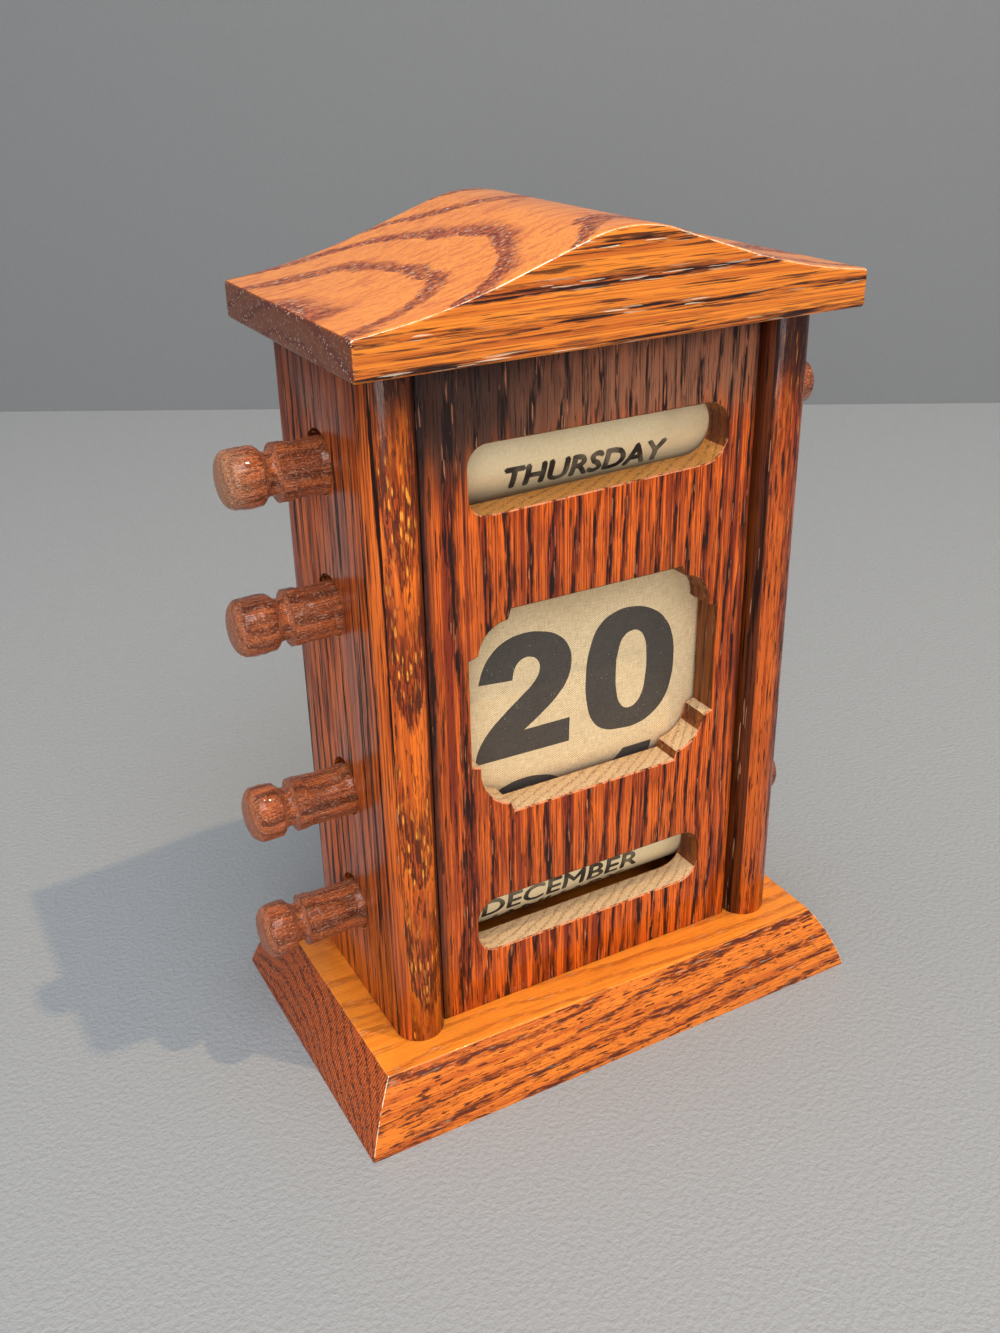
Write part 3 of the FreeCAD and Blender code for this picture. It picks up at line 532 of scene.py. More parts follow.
def label_ink():
    """Printer's ink, rubbed thin in places so that the paper shows."""
    material, bench, place = begin_finish("label_ink")
    rub = bench.rise(bench.cloud(place, 0.16, 2.0), 0.42, 0.62)
    grain = bench.rise(bench.cloud(place, 3.0, 3.0, 0.6), 0.4, 0.6)
    tone = bench.mix(rub * (0.3 + grain * 0.3), (0.028, 0.024, 0.020), (0.45, 0.38, 0.25))
    end_finish(bench, grain, 0.01, Base_Color=tone, Roughness=0.5)
    return material


label_paper, names_ink = paper(), label_ink()
print("cloth and ink ready")

# %% Steel
def old_steel():
    """Dull steel with the marks of the file and a little brown."""
    material, bench, place = begin_finish("old_steel")
    marks = bench.cloud(bench.vector("MULTIPLY", place, (0.6, 6.0, 6.0)), 1.0, 3.0)
    brown = bench.rise(bench.cloud(place, 0.8, 3.0), 0.5, 0.7)
    tone = bench.mix(brown * 0.6, (0.42, 0.40, 0.37), (0.20, 0.10, 0.05))
    end_finish(bench, marks, 0.02, Base_Color=tone, Roughness=0.35 + marks * 0.25, Metallic=1 - brown)
    return material


steel = old_steel()
print("steel ready")

# %% [markdown]
# ## Fair copies of the solids
# The solids come as loose triangles with knife-sharp edges. A real board has edges eased by
# sandpaper and worn by hands, and it is there that varnish looks bright. So each shown board
# gets a copy: its triangles are joined, flat faces are made whole, and its sharp edges are
# rounded by a few tenths of a millimetre with a wood of their own. That wood is pale where an
# edge looks up: wear, with a painted highlight.

# %% Fair copies
SHARP = math.radians(40)
# An eased edge keeps its pale wood only where its normal's z is more than this: wear, with a painted
# highlight on edges that look up.
HIGHLIT_EDGE_UP = 0.25  # an edge is worn bright only where its normal's z is more than this
ASIDE = 0.7


def add_piece(name, mesh, body, slot, *nodes):
    """Put a finished mesh in the scene, on its body and in place of its solids."""
    piece = in_scene(name, mesh)
    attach(piece, body)
    if nodes:
        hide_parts(*nodes)
    return piece


def joined_copy(node):
    """The solid's mesh with its triangles joined and its flat faces whole."""
    shape = bmesh.new()
    shape.from_mesh(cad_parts[node].data)
    for layer in list(shape.loops.layers.uv):
        shape.loops.layers.uv.remove(layer)
    bmesh.ops.remove_doubles(shape, verts=shape.verts, dist=0.002 * MM)
    bmesh.ops.dissolve_limit(
        shape, angle_limit=math.radians(0.4), verts=shape.verts, edges=shape.edges
    )
    return shape


def ease_edges(shape, width):
    """Round the sharp outer edges and give them the second wood."""
    edges = [
        edge for edge in shape.edges
        if len(edge.link_faces) == 2 and edge.is_convex and edge.calc_face_angle(0) > SHARP
    ]
    bmesh.ops.bevel(
        shape, geom=edges, offset=width * MM, segments=2, affect="EDGES", profile=0.5,
        clamp_overlap=True, material=1,
    )
    shape.normal_update()
    return len(edges)


def to_mesh(shape, name, woods, smooth=32):
    mesh = bpy.data.meshes.new(name)
    shape.to_mesh(mesh)
    shape.free()
    if "custom_normal" in mesh.attributes:
        mesh.attributes.remove(mesh.attributes["custom_normal"])
    mesh.shade_smooth()
    mesh.set_sharp_from_angle(angle=math.radians(smooth))
    for wood in woods:
        mesh.materials.append(wood)
    return mesh


def board_copy(node, woods, width, other_axis=0, highlight_band=None):
    """A board whose third wood looks along other_axis. rim is a band of normals on a round that gets
    the pale edge wood as a painted highlight line.
    """
    shape = joined_copy(node)
    eased = ease_edges(shape, width)
    # Eased edges keep the pale wood only where they look up, as wear and a painted highlight, and a
    # band of a round's normals gets it as a painted highlight line.
    for face in shape.faces:
        aside = abs(face.normal[other_axis])
        if face.material_index == 1 and face.normal.z < HIGHLIT_EDGE_UP:
            face.material_index = 0
        elif highlight_band and highlight_band[0] < aside < highlight_band[1] and face.normal.z > 0.2:
            face.material_index = 1
        if len(woods) > 2 and face.material_index == 0 and aside > ASIDE:
            face.material_index = 2
    worn_and_lit = sum(face.material_index == 1 for face in shape.faces)
    print(node, "edges eased:", eased, "faces:", len(shape.faces), "of them worn:", worn_and_lit)
    add_piece(node + "_wood", to_mesh(shape, node + "_wood", woods), "case", "varnished_oak", node)


board_copy("base_board", base_woods, 0.45, other_axis=2)
# The top of the roof's rounded front edge gets a painted highlight line.
board_copy("roof_board", roof_woods, 0.5, other_axis=1, highlight_band=(0.6, 0.8))
board_copy("left_side", left_woods, 0.25)
board_copy("right_side", right_woods, 0.25)
board_copy("back_panel", back_woods, 0.25)

# %% [markdown]
# ## The front panel
# Its windows were cut with a fretsaw, so their ledges show the bare end of the grain. The
# same copy is made, and then the faces inside the windows are told apart by where they look:
# ledges look up, walls look aside and get painted shade, and the eased edges round a window get
# the same painted shade where they look down.

# %% Front panel
FACE, BARE, GOLD, SHADED_WALL = 0, 2, 3, 4
MARGIN, SKIN = 4 * MM, 0.35 * MM
panel_low, panel_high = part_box("front_panel")
day_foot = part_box("day_label")[0].z
panel = joined_copy("front_panel")
print("panel edges eased:", ease_edges(panel, 0.3))
for face in panel.faces:
    middle, facing = face.calc_center_median(), face.normal
    round_window = (
        panel_low.x + MARGIN < middle.x < panel_high.x - MARGIN
        and panel_low.z + MARGIN < middle.z < panel_high.z - MARGIN
    )
    inside = round_window and panel_low.y + SKIN < middle.y < panel_high.y - SKIN
    # Eased edges that don't look up lose the pale wood, and round a window those that look down get
    # the dark wall wood: painted shade. The walls inside a window get that painted shade too.
    if face.material_index == 1 and facing.z < HIGHLIT_EDGE_UP:
        face.material_index = SHADED_WALL if round_window and facing.z < -0.2 else FACE
    if inside and facing.z > 0.5:
        face.material_index = GOLD if middle.z > day_foot else BARE
    elif inside and abs(facing.y) < 0.3:
        face.material_index = SHADED_WALL
add_piece(
    "front_panel_wood", to_mesh(panel, "front_panel_wood", panel_woods), "case", "varnished_oak",
    "front_panel",
)

# %% [markdown]
# ## The spindles and their knobs
# The knobs were turned by hand and never quite true, and the varnish pooled on them. A copy of
# each spindle is cut into thin rings, and each ring is pressed in by a slow cloud and a fine one,
# never out, so the knob keeps inside its solid.

# %% Spindles
def roller_middle(node):
    """Where a roller's axis passes, as (y, z) in mm."""
    low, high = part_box(node)
    return (low.y + high.y) / 2 / MM, (low.z + high.z) / 2 / MM


def half(node, axis="z"):
    """Half of a solid's size along an axis, in mm."""
    low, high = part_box(node)
    return (getattr(high, axis) - getattr(low, axis)) / 2 / MM


def cut(shape, spot, across, clear=False):
    """Cut a shape along a plane, and with clear throw away what lies beyond it."""
    everything = shape.verts[:] + shape.edges[:] + shape.faces[:]
    bmesh.ops.bisect_plane(
        shape, geom=everything, plane_co=spot, plane_no=across, clear_outer=clear
    )


side_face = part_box("right_side")[1].x / MM
RING = 0.4
PRESSED, UNEVEN, ROUGH = 0.16, 0.3, 0.1
# The head of the day's left knob is paler: wear from hands, with a painted highlight where the lamp
# falls.
HANDLED_AND_LIT = (0.5, (0.95, 0.47, 0.25), ("x", -57, -62))


def turned_copy(name, seed):
    """A spindle with uneven knobs. The head of the day's left knob is paler, from hands and a painted
    highlight.
    """
    node = f"{name}_spindle"
    middle_y, middle_z = roller_middle(node)
    low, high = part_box(node)
    shape = joined_copy(node)
    reaches = [(low.x / MM, -side_face)]
    if high.x / MM > side_face:
        reaches.append((side_face, high.x / MM))
    for start, end in reaches:
        count = int((end - start) / RING)
        for step in range(1, count):
            cut(shape, ((start + (end - start) * step / count) * MM, 0, 0), (1, 0, 0))
    for vertex in shape.verts:
        if abs(vertex.co.x) / MM < side_face + 0.5:
            continue
        spot = vertex.co / MM
        off = Vector((0, spot.y - middle_y, spot.z - middle_z))
        if off.length < 0.2:
            continue
        slow = noise.noise(Vector((spot.x * 0.16, spot.y * 0.16, spot.z * 0.16 + seed)))
        fine = noise.noise(Vector((spot.x * 1.1, spot.y * 0.7, spot.z * 0.7 + seed)))
        press = max(0.0, PRESSED + slow * UNEVEN + fine * ROUGH)
        vertex.co = (spot - off.normalized() * press) * MM
    veils = [HANDLED_AND_LIT] if name == "day" else ()
    wood = knob_wood(name + "_turned", (middle_y, middle_z), seed, veils)
    mesh = to_mesh(shape, node + "_wood", [wood], smooth=50)
    print(node, "faces:", len(mesh.polygons))
    add_piece(node + "_wood", mesh, f"{name}_roller", "turned_wood", node)


for number, name in enumerate(("day", "month", "date_upper", "date_lower")):
    turned_copy(name, 61 + 7 * number)

# %% [markdown]
# ## Inside the case
# Drums, blocks, cleats, dowels and pins keep their solids, whose shape is right, and get the
# bare woods and the steel.

# %% Inside
def dress(node, material):
    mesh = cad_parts[node].data
    mesh.materials.clear()
    mesh.materials.append(material)


for name in ("day", "month", "date_upper", "date_lower"):
    dress(f"{name}_drum", bare_x)
    dress(f"{name}_pin", steel)
for node in ("bottom_glue_block", "top_glue_block"):
    dress(node, bare_x)
for node in ("left_back_cleat", "right_back_cleat", "roof_dowels"):
    dress(node, bare_z)
print("inside dressed")

# %% [markdown]
# ## Lettering laid on a surface
# Names are printed on paper round a drum, and dates on the cloth. Flat lettering is made
# first. It is then sliced into thin strips, because a long triangle can't bend, and each of its
# points is sent to its place on the surface, a hair above it.

# %% Lettering
HAIR, LIFT = 0.02, 0.003


def plain_mesh(holder):
    """What an object comes to with its modifiers, as a mesh of its own."""
    bpy.context.view_layer.update()
    evaluated = holder.evaluated_get(bpy.context.evaluated_depsgraph_get())
    return bpy.data.meshes.new_from_object(evaluated)


def flat_mesh(curve):
    """The filled shape of a curve or a text, as a bmesh of triangles in mm."""
    holder = in_scene("lettering", curve)
    mesh = plain_mesh(holder)
    shape = bmesh.new()
    shape.from_mesh(mesh)
    bpy.data.objects.remove(holder)
    bpy.data.curves.remove(curve)
    bpy.data.meshes.remove(mesh)
    bmesh.ops.remove_doubles(shape, verts=shape.verts, dist=0.001)
    return shape


def sliced(shape, step):
    """Cut a flat shape into level strips."""
    heights = [vertex.co.y for vertex in shape.verts]
    low, high = min(heights), max(heights)
    for number in range(1, int((high - low) / step)):
        cut(shape, (0, low + number * step, 0), (0, 1, 0))
    return shape


def gather(whole, shape):
    """Add a shape to the whole and put it away."""
    mesh = bpy.data.meshes.new("part")
    shape.to_mesh(mesh)
    shape.free()
    whole.from_mesh(mesh)
    bpy.data.meshes.remove(mesh)


def words(text, width, height, weight):
    """Plain capitals, centred, scaled to a width and a height in mm.

    They are made bold by printing them four times more, a little to each side and each copy
    above the last.
    """
    curve = bpy.data.curves.new("words", "FONT")
    curve.body, curve.resolution_u = text, 3
    shape = flat_mesh(curve)
    once = shape.verts[:] + shape.edges[:] + shape.faces[:]
    for number, (x, y) in enumerate(((1, -0.4), (-1, 0.4), (0, 1), (0, -1))):
        again = bmesh.ops.duplicate(shape, geom=once)["geom"]
        moved = [part for part in again if isinstance(part, bmesh.types.BMVert)]
        shift = Vector((x * weight, y * weight, (number + 1) * LIFT))
        bmesh.ops.translate(shape, verts=moved, vec=shift)
    spots = [vertex.co for vertex in shape.verts]
    low = Vector((min(p.x for p in spots), min(p.y for p in spots)))
    high = Vector((max(p.x for p in spots), max(p.y for p in spots)))
    for vertex in shape.verts:
        vertex.co.x = ((vertex.co.x - low.x) / (high.x - low.x) - 0.5) * width
        vertex.co.y = ((vertex.co.y - low.y) / (high.y - low.y) - 0.5) * height
    return sliced(shape, 0.5)


print("lettering ready")

# %% [markdown]
# ## The day and the month
# A label holds every name once, one below the other, so that seven days or twelve months go
# once round the drum. The name in the window is set a little below the level of the axis,
# because it is read from above.

# %% Names on their drums
DAYS = ("MONDAY", "TUESDAY", "WEDNESDAY", "THURSDAY", "FRIDAY", "SATURDAY", "SUNDAY")
MONTHS = (
    "JANUARY", "FEBRUARY", "MARCH", "APRIL", "MAY", "JUNE", "JULY", "AUGUST", "SEPTEMBER",
    "OCTOBER", "NOVEMBER", "DECEMBER",
)


def names_round(name, texts, shown, centre, drop, letter_width, height, weight):
    """All the names round one drum, with one of them in the window, drop mm below the axis."""
    middle_y, middle_z = roller_middle(f"{name}_label")
    radius = half(f"{name}_label")
    pitch = 2 * math.pi * radius / len(texts)
    whole = bmesh.new()
    for number, text in enumerate(texts):
        arc = -drop - (number - texts.index(shown)) * pitch
        flat = words(text, letter_width * len(text), height, weight)
        for vertex in flat.verts:
            angle = (arc + vertex.co.y) / radius
            reach = radius + HAIR + vertex.co.z
            vertex.co = Vector((
                centre + vertex.co.x, middle_y - reach * math.cos(angle),
                middle_z + reach * math.sin(angle),
            )) * MM
        gather(whole, flat)
    mesh = to_mesh(whole, f"{name}_names", [names_ink])
    add_piece(f"{name}_names", mesh, f"{name}_roller", "label_paper")
    print(name, "names:", len(texts), "pitch", round(pitch, 2), "mm, faces", len(mesh.polygons))


names_round(
    "day", DAYS, "THURSDAY", centre=2.2, drop=5.2, letter_width=4.28, height=5.2, weight=0.042
)
names_round(
    "month", MONTHS, "DECEMBER", centre=-3.0, drop=3.4, letter_width=4.7, height=5.0, weight=0.024
)
for name in ("day", "month"):
    label = to_mesh(joined_copy(f"{name}_label"), f"{name}_paper", [label_paper])
    add_piece(f"{name}_paper", label, f"{name}_roller", "label_paper", f"{name}_label")

# %% [markdown]
# ## The line of the date band
# The band of cloth leaves the upper roll, comes straight down behind the window and goes round
# the lower roll. Its middle line is two arcs and the straight between them. A point of the cloth
# is named by mm across and mm along this line, so the cloth and the ink share one function.

# %% Band line
roll_y, upper_z = roller_middle("date_upper_roll")
lower_z = roller_middle("date_lower_roll")[1]
band_low, band_high = (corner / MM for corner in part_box("date_band"))
BAND_HALF = (band_high.x - band_low.x) / 2
CLOTH, SOLID_BAND = 0.16, 0.25
band_gap = roll_y - half("date_upper_roll") - band_low.y - SOLID_BAND / 2
upper_bow = half("date_upper_roll") + band_gap
lower_bow = half("date_lower_roll") + band_gap
apart = upper_z - lower_z
slant = math.asin((upper_bow - lower_bow) / apart)
top_angle = math.asin((band_high.z - upper_z) / upper_bow)
foot_angle = math.asin((band_low.z - lower_z) / lower_bow)
upper_arc = upper_bow * (top_angle + slant)
straight = math.sqrt(apart**2 - (upper_bow - lower_bow) ** 2)
lower_arc = lower_bow * (-slant - foot_angle)
BAND_LENGTH = upper_arc + straight + lower_arc


def band_spot(across, along, lift=0.0):
    """A point of the cloth, along mm from its upper end, lifted off it towards the window."""
    if along < upper_arc:
        angle, bow, height = top_angle - along / upper_bow, upper_bow, upper_z
    elif along < upper_arc + straight:
        angle, bow = -slant, upper_bow + (lower_bow - upper_bow) * (along - upper_arc) / straight
        height = upper_z - apart * (along - upper_arc) / straight
    else:
        angle, bow, height = -slant - (along - upper_arc - straight) / lower_bow, lower_bow, lower_z
    ripple = noise.noise(Vector((across * 0.07, along * 0.11, 4.2))) * 0.05
    ripple += noise.noise(Vector((across * 0.25, along * 0.3, 9.1))) * 0.02
    crease = max(0.0, 1 - abs(along - CREASE) / 0.8) * (0.06 if across > 0 else 0.03)
    reach = bow + ripple - crease + lift
    return Vector((
        across, roll_y - reach * math.cos(angle), height + reach * math.sin(angle)
    )) * MM


def along_at(height):
    """How far along the cloth a height in mm is."""
    return upper_arc + (upper_z - height) / apart * straight


CREASE = along_at(79.0)
print("band line", round(BAND_LENGTH, 1), "mm, of which straight", round(straight, 1))

# %% [markdown]
# ## The cloth of the band
# A grid of points follows the line. It ripples by a few hundredths of a millimetre and keeps
# one crease, left from the years that it stood at the same date.

# %% Band cloth
def cloth_grid(name, spot, width, length, columns, rows, material):
    """A sheet from a function of mm across and along, with its flat map."""
    shape = bmesh.new()
    flat = shape.loops.layers.uv.new("flat")
    grid = [
        [
            shape.verts.new(spot((column / columns - 0.5) * width, row / rows * length))
            for column in range(columns + 1)
        ]
        for row in range(rows + 1)
    ]
    for row in range(rows):
        for column in range(columns):
            corners = [(row, column), (row + 1, column), (row + 1, column + 1), (row, column + 1)]
            face = shape.faces.new([grid[r][c] for r, c in corners])
            for loop, (r, c) in zip(face.loops, corners):
                loop[flat].uv = (c / columns * width / MAP, r / rows * length / MAP)
    return to_mesh(shape, name, [material], smooth=80)


def thicken(piece, thickness):
    """Give a sheet its thickness, half to each side, and apply it."""
    modifier = piece.modifiers.new("thickness", "SOLIDIFY")
    modifier.thickness, modifier.offset = thickness * MM, 0.0
    mesh = plain_mesh(piece)
    piece.modifiers.remove(modifier)
    piece.data = mesh


band_mesh = cloth_grid(
    "date_band_cloth", band_spot, BAND_HALF * 2, BAND_LENGTH, 90, 100, band_cloth
)
band = add_piece("date_band_cloth", band_mesh, "case", "band_cloth", "date_band")
thicken(band, CLOTH)
BAND_LENGTH * MM
print("band cloth faces:", len(band.data.polygons))

# %% [markdown]
# ## The printed numbers
# The numbers are broad and heavy, drawn as smooth outlines round points in mm. A point that
# holds a corner is marked with a 1. 21 starts below the 20 and peeps over the ledge, and 19 lies
# above it, behind the panel.

# %% Numbers
TWO = (
    (-21.3, 81.4, 1), (-20.3, 84.6), (-18.4, 87.4), (-15.6, 89.2), (-12.0, 89.9), (-8.0, 89.4),
    (-4.2, 87.7), (-1.8, 84.7), (-1.2, 81.2), (-2.0, 77.9), (-4.2, 74.9), (-7.6, 72.1),
    (-11.6, 69.4, 1), (-1.4, 69.3, 1), (-1.5, 64.0, 1), (-22.3, 64.5, 1), (-21.6, 67.4),
    (-19.6, 70.6), (-16.3, 73.7), (-12.3, 76.8), (-9.4, 79.2), (-8.2, 81.5), (-8.6, 83.5),
    (-10.2, 84.7), (-12.1, 84.6), (-13.5, 83.2), (-14.1, 80.7, 1),
)
ZERO_OUTSIDE = (
    (12.4, 89.7), (8.6, 89.5), (5.1, 87.6), (3.0, 83.4), (2.1, 77.0), (2.5, 70.9), (3.9, 66.8),
    (6.4, 64.4), (10.4, 63.4), (14.4, 63.3), (18.0, 64.7), (20.9, 67.6), (22.3, 71.6), (22.7, 76.4),
    (22.2, 81.0), (20.3, 85.2), (16.9, 88.2),
)
ZERO_INSIDE = (
    (12.4, 84.6), (10.5, 83.6), (9.4, 80.8), (9.0, 76.3), (9.3, 72.0), (10.2, 69.1), (11.8, 67.7),
    (13.7, 68.0), (15.2, 69.9), (16.0, 73.8), (16.1, 78.7), (15.5, 82.2), (14.2, 84.1),
)
ONE = (
    (18.3, 89.8, 1), (18.3, 64.0, 1), (11.0, 64.0, 1), (11.0, 80.8, 1), (8.2, 79.4), (4.8, 78.6, 1),
    (4.8, 84.2, 1), (8.8, 86.0), (11.4, 89.8, 1),
)
NINE_OUTSIDE = (
    (2.6, 69.6, 1), (9.2, 70.6, 1), (10.4, 68.4), (12.4, 67.9), (14.8, 69.4), (15.8, 74.2),
    (13.6, 73.2), (10.6, 73.0), (5.8, 74.6), (2.9, 78.2), (2.2, 81.8), (3.2, 86.0), (6.8, 89.0),
    (11.8, 89.9), (17.4, 88.6), (21.2, 84.8), (22.6, 78.4), (22.2, 71.8), (20.2, 67.2), (16.8, 64.4),
    (12.2, 63.4), (6.6, 64.6), (3.6, 67.2),
)
NINE_INSIDE = ((12.2, 85.6), (9.6, 84.2), (8.9, 81.4), (9.8, 78.4), (12.4, 77.4), (14.9, 78.8),
               (15.6, 81.6), (14.7, 84.4))
PITCH = 31.4
BEFORE = -PITCH - 1.6
BARE_END = 0.4  # mm of cloth without ink at both ends of the stretch


def number_shape(*outlines):
    """A flat filled shape whose outlines run smoothly but for their corners."""
    curve = bpy.data.curves.new("number", "CURVE")
    curve.dimensions, curve.fill_mode, curve.resolution_u = "2D", "BOTH", 5
    for outline in outlines:
        spline = curve.splines.new("BEZIER")
        spline.bezier_points.add(len(outline) - 1)
        spline.use_cyclic_u = True
        for point, spot in zip(spline.bezier_points, outline):
            kind = "VECTOR" if len(spot) > 2 else "AUTO"
            point.co = (spot[0], spot[1], 0)
            point.handle_left_type = point.handle_right_type = kind
    return sliced(flat_mesh(curve), 0.7)


def print_number(whole, shape, drop, across):
    """Lay a flat number on the cloth, drop mm below the window's, and cut it at the ends."""
    for vertex in shape.verts:
        vertex.co.x, vertex.co.y = vertex.co.x + across, along_at(vertex.co.y) + drop
    for edge, facing in ((BARE_END, -1), (BAND_LENGTH - BARE_END, 1)):
        cut(shape, (0, edge, 0), (0, facing, 0), clear=True)
    flat = shape.loops.layers.uv.new("flat")
    for face in shape.faces:
        for loop in face.loops:
            loop[flat].uv = (loop.vert.co.x / MAP, loop.vert.co.y / MAP)
    for vertex in shape.verts:
        vertex.co = band_spot(vertex.co.x, vertex.co.y, CLOTH / 2 + HAIR)
    gather(whole, shape)


numbers = bmesh.new()
for outlines, drop, across in (
    ((TWO,), 0, 0), ((ZERO_OUTSIDE, ZERO_INSIDE), 0, 0), ((TWO,), PITCH, 0), ((ONE,), PITCH, 0),
    ((ONE,), BEFORE, -24), ((NINE_OUTSIDE, NINE_INSIDE), BEFORE, 0),
):
    print_number(numbers, number_shape(*outlines), drop, across)
number_mesh = to_mesh(numbers, "date_numbers", [band_ink])
outward = sum(face.normal.y < 0 for face in number_mesh.polygons)
print("number faces:", len(number_mesh.polygons), "facing the window:", outward)
add_piece("date_numbers", number_mesh, "case", "band_cloth")

# %% [markdown]
# ## The wound rolls
# The rest of the band is wound on the two drums: 19 dates on the upper one and 11 on the lower
# one, which comes to nine turns and six. A spiral of cloth is the same grid with another
# function, and its edges wander a little from turn to turn, as they do on any band that has been
# wound by hand.

# %% Rolls
TURN_PITCH, STEPS = 0.21, 60
KEPT_IN = 0.12  # mm between the last turn and the skin of the solid roll
WANDER = 0.35


def wind(name, seed):
    node = f"{name}_roll"
    middle_y, middle_z = roller_middle(node)
    side = half(node, "x")
    outer = half(node) - KEPT_IN
    inner = half(f"{name}_drum") + CLOTH
    turns = round((outer - inner) / TURN_PITCH)
    length = math.pi * (inner + outer) * turns

    def spot(across, along):
        share = along / length
        radius = inner + (outer - inner) * share
        angle = share * turns * 2 * math.pi
        wander = noise.noise(Vector((share * turns * 1.7, seed, 0.5))) * WANDER
        return Vector((
            across * (side - 0.4) / side + wander, middle_y - radius * math.cos(angle),
            middle_z + radius * math.sin(angle),
        )) * MM

    mesh = cloth_grid(f"{node}_cloth", spot, side * 2, length, 4, turns * STEPS, roll_cloth)
    piece = add_piece(f"{node}_cloth", mesh, f"{name}_roller", "band_cloth", node)
    thicken(piece, CLOTH)
    side * 2 * MM
    length * MM
    print(node, "turns:", turns, "length", round(length), "mm")


wind("date_upper", 1.5)
wind("date_lower", 6.5)

# %% [markdown]
# ## The screws
# Four screws hold the sides on the base and four hold the back. They differ only in their sizes,
# so one Geometry Nodes tree makes both: a slotted head, a shank with its thread, and a point,
# set on each place and turned by chance, since no two screws stop at the same angle.

# %% Screw tree
THREADED = 0.6  # the share of the shank that has a thread


def socket(tree, name, kind, way="INPUT"):
    return tree.interface.new_socket(name, in_out=way, socket_type=kind)


screw_tree = bpy.data.node_groups.new("slotted_screws", "GeometryNodeTree")
socket(screw_tree, "Geometry", "NodeSocketGeometry")
for title in ("Head radius", "Shank radius", "Head height", "Length"):
    socket(screw_tree, title, "NodeSocketFloat")
socket(screw_tree, "Direction", "NodeSocketVector")
socket(screw_tree, "Seed", "NodeSocketInt")
socket(screw_tree, "Metal", "NodeSocketMaterial")
socket(screw_tree, "Geometry", "NodeSocketGeometry", "OUTPUT")
bench = Bench(screw_tree)
given = screw_tree.nodes.new("NodeGroupInput")
sizes = {output.name: Wire(bench, output) for output in given.outputs if output.name}


def shifted(mesh, height):
    return bench.node(
        "GeometryNodeTransform", None, {"Geometry": mesh, "Translation": bench.join(0, 0, height)}
    )


core = sizes["Shank radius"] * 0.8
point = sizes["Shank radius"] * 1.4
shank = sizes["Length"] - sizes["Head height"] - point
head = bench.node("GeometryNodeMeshCone", None, {
    "Vertices": 32, "Radius Bottom": sizes["Head radius"], "Radius Top": core,
    "Depth": sizes["Head height"],
})
slot_cut = bench.node("GeometryNodeMeshCube", None, {
    "Size": bench.join(
        sizes["Head radius"] * 3, sizes["Head radius"] * 0.24, sizes["Head radius"] * 0.48
    ),
})
head = bench.node("GeometryNodeMeshBoolean", {"operation": "DIFFERENCE"}, {0: head, 1: slot_cut})
rod = bench.node("GeometryNodeMeshCylinder", None, {"Vertices": 16, "Radius": core, "Depth": shank})
rod = shifted(rod, sizes["Head height"] + shank / 2)
tip = bench.node("GeometryNodeMeshCone", None, {
    "Vertices": 16, "Radius Bottom": core, "Radius Top": 0.0, "Depth": point,
})
tip = shifted(tip, sizes["Head height"] + shank)
spiral = bench.node("GeometryNodeCurveSpiral", None, {
    "Resolution": 12, "Rotations": shank * THREADED / (sizes["Shank radius"] * 0.7),
    "Start Radius": core, "End Radius": core, "Height": shank * THREADED,
})
ridge = bench.node("GeometryNodeCurvePrimitiveCircle", None, {
    "Resolution": 3, "Radius": sizes["Shank radius"] * 0.19,
})
thread = bench.node("GeometryNodeCurveToMesh", None, {
    "Curve": spiral, "Profile Curve": ridge, "Fill Caps": True,
})
thread = shifted(thread, sizes["Head height"] + shank * (1 - THREADED))
whole_screw = screw_tree.nodes.new("GeometryNodeJoinGeometry")
for part in (thread, tip, rod, head):
    screw_tree.links.new(part.socket, whole_screw.inputs[0])
facing = bench.node("FunctionNodeAlignRotationToVector", {"axis": "Z"}, {
    "Vector": sizes["Direction"],
})
placed = bench.node("GeometryNodeInstanceOnPoints", None, {
    "Points": sizes["Geometry"], "Instance": Wire(bench, whole_screw.outputs[0]),
    "Rotation": facing,
})
chance = bench.node("FunctionNodeRandomValue", {"data_type": "FLOAT"}, {
    2: 0.0, 3: math.pi, "Seed": sizes["Seed"],
}, out=1)
placed = bench.node("GeometryNodeRotateInstances", None, {
    "Instances": placed, "Rotation": bench.join(0, 0, chance), "Local Space": True,
})
real = bench.node("GeometryNodeRealizeInstances", None, {"Geometry": placed})
metal = bench.node("GeometryNodeSetMaterial", None, {
    "Geometry": real, "Material": sizes["Metal"],
})
bench.node("NodeGroupOutput", None, {"Geometry": metal})
print("screw tree nodes:", len(screw_tree.nodes))

# %% [markdown]
# The places are read from the solids: each set of screws fills the corners of its own box, so
# the middle of a head lies one head radius inside the box.

# %% Screws in their places
def set_screws(node, places, head_radius, shank_radius, head_height, length, direction, seed):
    mesh = bpy.data.meshes.new(node + "_steel")
    mesh.from_pydata(places, [], [])
    holder = in_scene("screw_places", mesh)
    modifier = holder.modifiers.new("screws", "NODES")
    modifier.node_group = screw_tree
    values = {
        "Head radius": head_radius * MM, "Shank radius": shank_radius * MM,
        "Head height": head_height * MM, "Length": length * MM, "Direction": direction,
        "Seed": seed, "Metal": steel,
    }
    for item in screw_tree.interface.items_tree:
        if item.in_out == "INPUT" and item.name in values:
            modifier[item.identifier] = values[item.name]
    made = plain_mesh(holder)
    holder.modifiers.remove(modifier)
    bpy.data.objects.remove(holder)
    bpy.data.meshes.remove(mesh)
    made.name = node + "_steel"
    made.shade_smooth()
    made.set_sharp_from_angle(angle=math.radians(30))
    print(node, "faces:", len(made.polygons))
    add_piece(node + "_steel", made, "case", "steel", node)


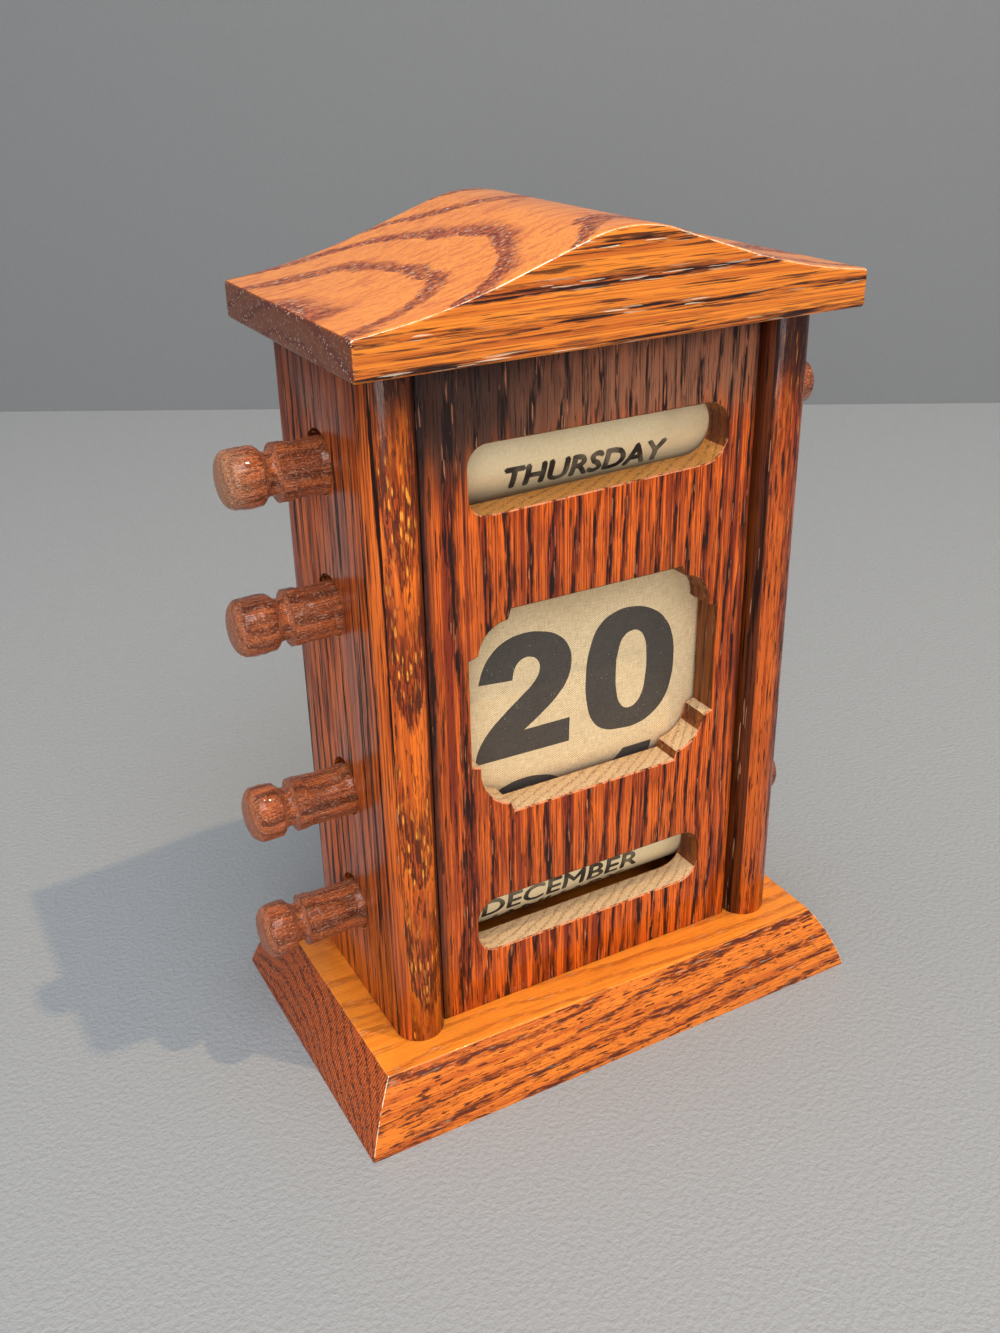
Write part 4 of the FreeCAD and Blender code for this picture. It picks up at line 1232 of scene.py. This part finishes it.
low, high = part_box("base_screws")
inset = 3.9 * MM
set_screws(
    "base_screws",
    [(x, y, low.z) for x in (low.x + inset, high.x - inset) for y in (low.y + inset, high.y - inset)],
    head_radius=3.85, shank_radius=2.0, head_height=2.4, length=27.0, direction=(0, 0, 1), seed=4,
)
low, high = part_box("back_screws")
inset = 1.8 * MM
set_screws(
    "back_screws",
    [(x, high.y, z) for x in (low.x + inset, high.x - inset) for z in (low.z + inset, high.z - inset)],
    head_radius=1.75, shank_radius=0.9, head_height=1.1, length=6.2, direction=(0, -1, 0), seed=9,
)

# %% [markdown]
# ## The stage
# The calendar stands on a pale grey table in front of a plain wall. Neither is part of it.

# %% Table and wall
def grey(name, tone, grit):
    material, bench, place = begin_finish(name)
    speck = bench.cloud(place, 0.9, 3.0, 0.6)
    shade = bench.mix(bench.rise(speck, 0.3, 0.7), tuple(c * 0.95 for c in tone), tone)
    end_finish(bench, speck, grit, Base_Color=shade, Roughness=0.6)
    return material


SPREAD, WALL_HEIGHT = 2.5, 2
WALL_FOOT = Vector((0.1957, 0.4153, 0))
along_wall = Vector((0.8545, -0.5195, 0)) * SPREAD
toward_wall = Vector((0.5195, 0.8545, 0)) * SPREAD


def stage_sheet(name, corners, material):
    mesh = bpy.data.meshes.new(name)
    mesh.from_pydata(corners, [], [(0, 1, 2, 3)])
    mesh.materials.append(material)
    in_scene(name, mesh)
    print(name, "ready")


left, right, up = WALL_FOOT - along_wall, WALL_FOOT + along_wall, Vector((0, 0, WALL_HEIGHT))
stage_sheet(
    "table", [left - toward_wall, right - toward_wall, right, left],
    grey("table_grey", (0.353, 0.362, 0.376), 0.4),
)
stage_sheet(
    "wall", [left, right, right + up, left + up], grey("wall_grey", (0.225, 0.229, 0.238), 0.05)
)

# %% [markdown]
# ## The light
# One small warm lamp, high and to the right, throws the shadow to the left and to the back. Its
# place was found from that shadow's corners. A wide soft panel as high as a ceiling lights the
# front and leaves it dark under the eaves, and another, as high as a window, lights the left
# side. The room itself adds a little light all round, and more from straight above.

# %% Light
world = bpy.data.worlds.new("room")
bpy.context.scene.world = world
world.use_nodes = True
world.node_tree.nodes.clear()
bench = Bench(world.node_tree)
height = bench.split(bench.node("ShaderNodeTexCoord", out="Generated"))[2]
ALL_ROUND, FROM_ABOVE = 0.30, 0.86
air = bench.node("ShaderNodeBackground", None, {
    "Color": (0.89, 0.96, 1.0),
    "Strength": bench.sum("MAXIMUM", height, 0.0) * FROM_ABOVE + ALL_ROUND,
})
bench.node("ShaderNodeOutputWorld", None, {"Surface": air})


def lamp(name, place, size, power, tone):
    """A round soft lamp that looks at the middle of the case."""
    light = bpy.data.lights.new(name, "AREA")
    light.shape, light.size, light.energy, light.color = "DISK", size, power, tone
    holder = in_scene(name, light)
    holder.location = place
    holder.rotation_euler = (Vector(place) - LIT).to_track_quat("Z", "Y").to_euler()
    print(name, "at", tuple(round(c, 2) for c in place), power, "W")


LIT, DAYLIGHT = Vector((0, 0, 0.08)), (0.98, 0.99, 1.0)
lamp("key", (0.30, -0.41, 1.26), 0.025, 5.8, (1.0, 0.74, 0.42))
lamp("ceiling", (-0.18, -0.95, 1.31), 0.9, 10.4, DAYLIGHT)
lamp("window", (-0.72, -1.15, 0.50), 0.8, 6.2, DAYLIGHT)
bpy.context.scene.view_settings.view_transform = "Standard"

# %% [markdown]
# ## Last step
# The looks have to stay inside the solids' box.

# %% Finish
bpy.context.view_layer.update()
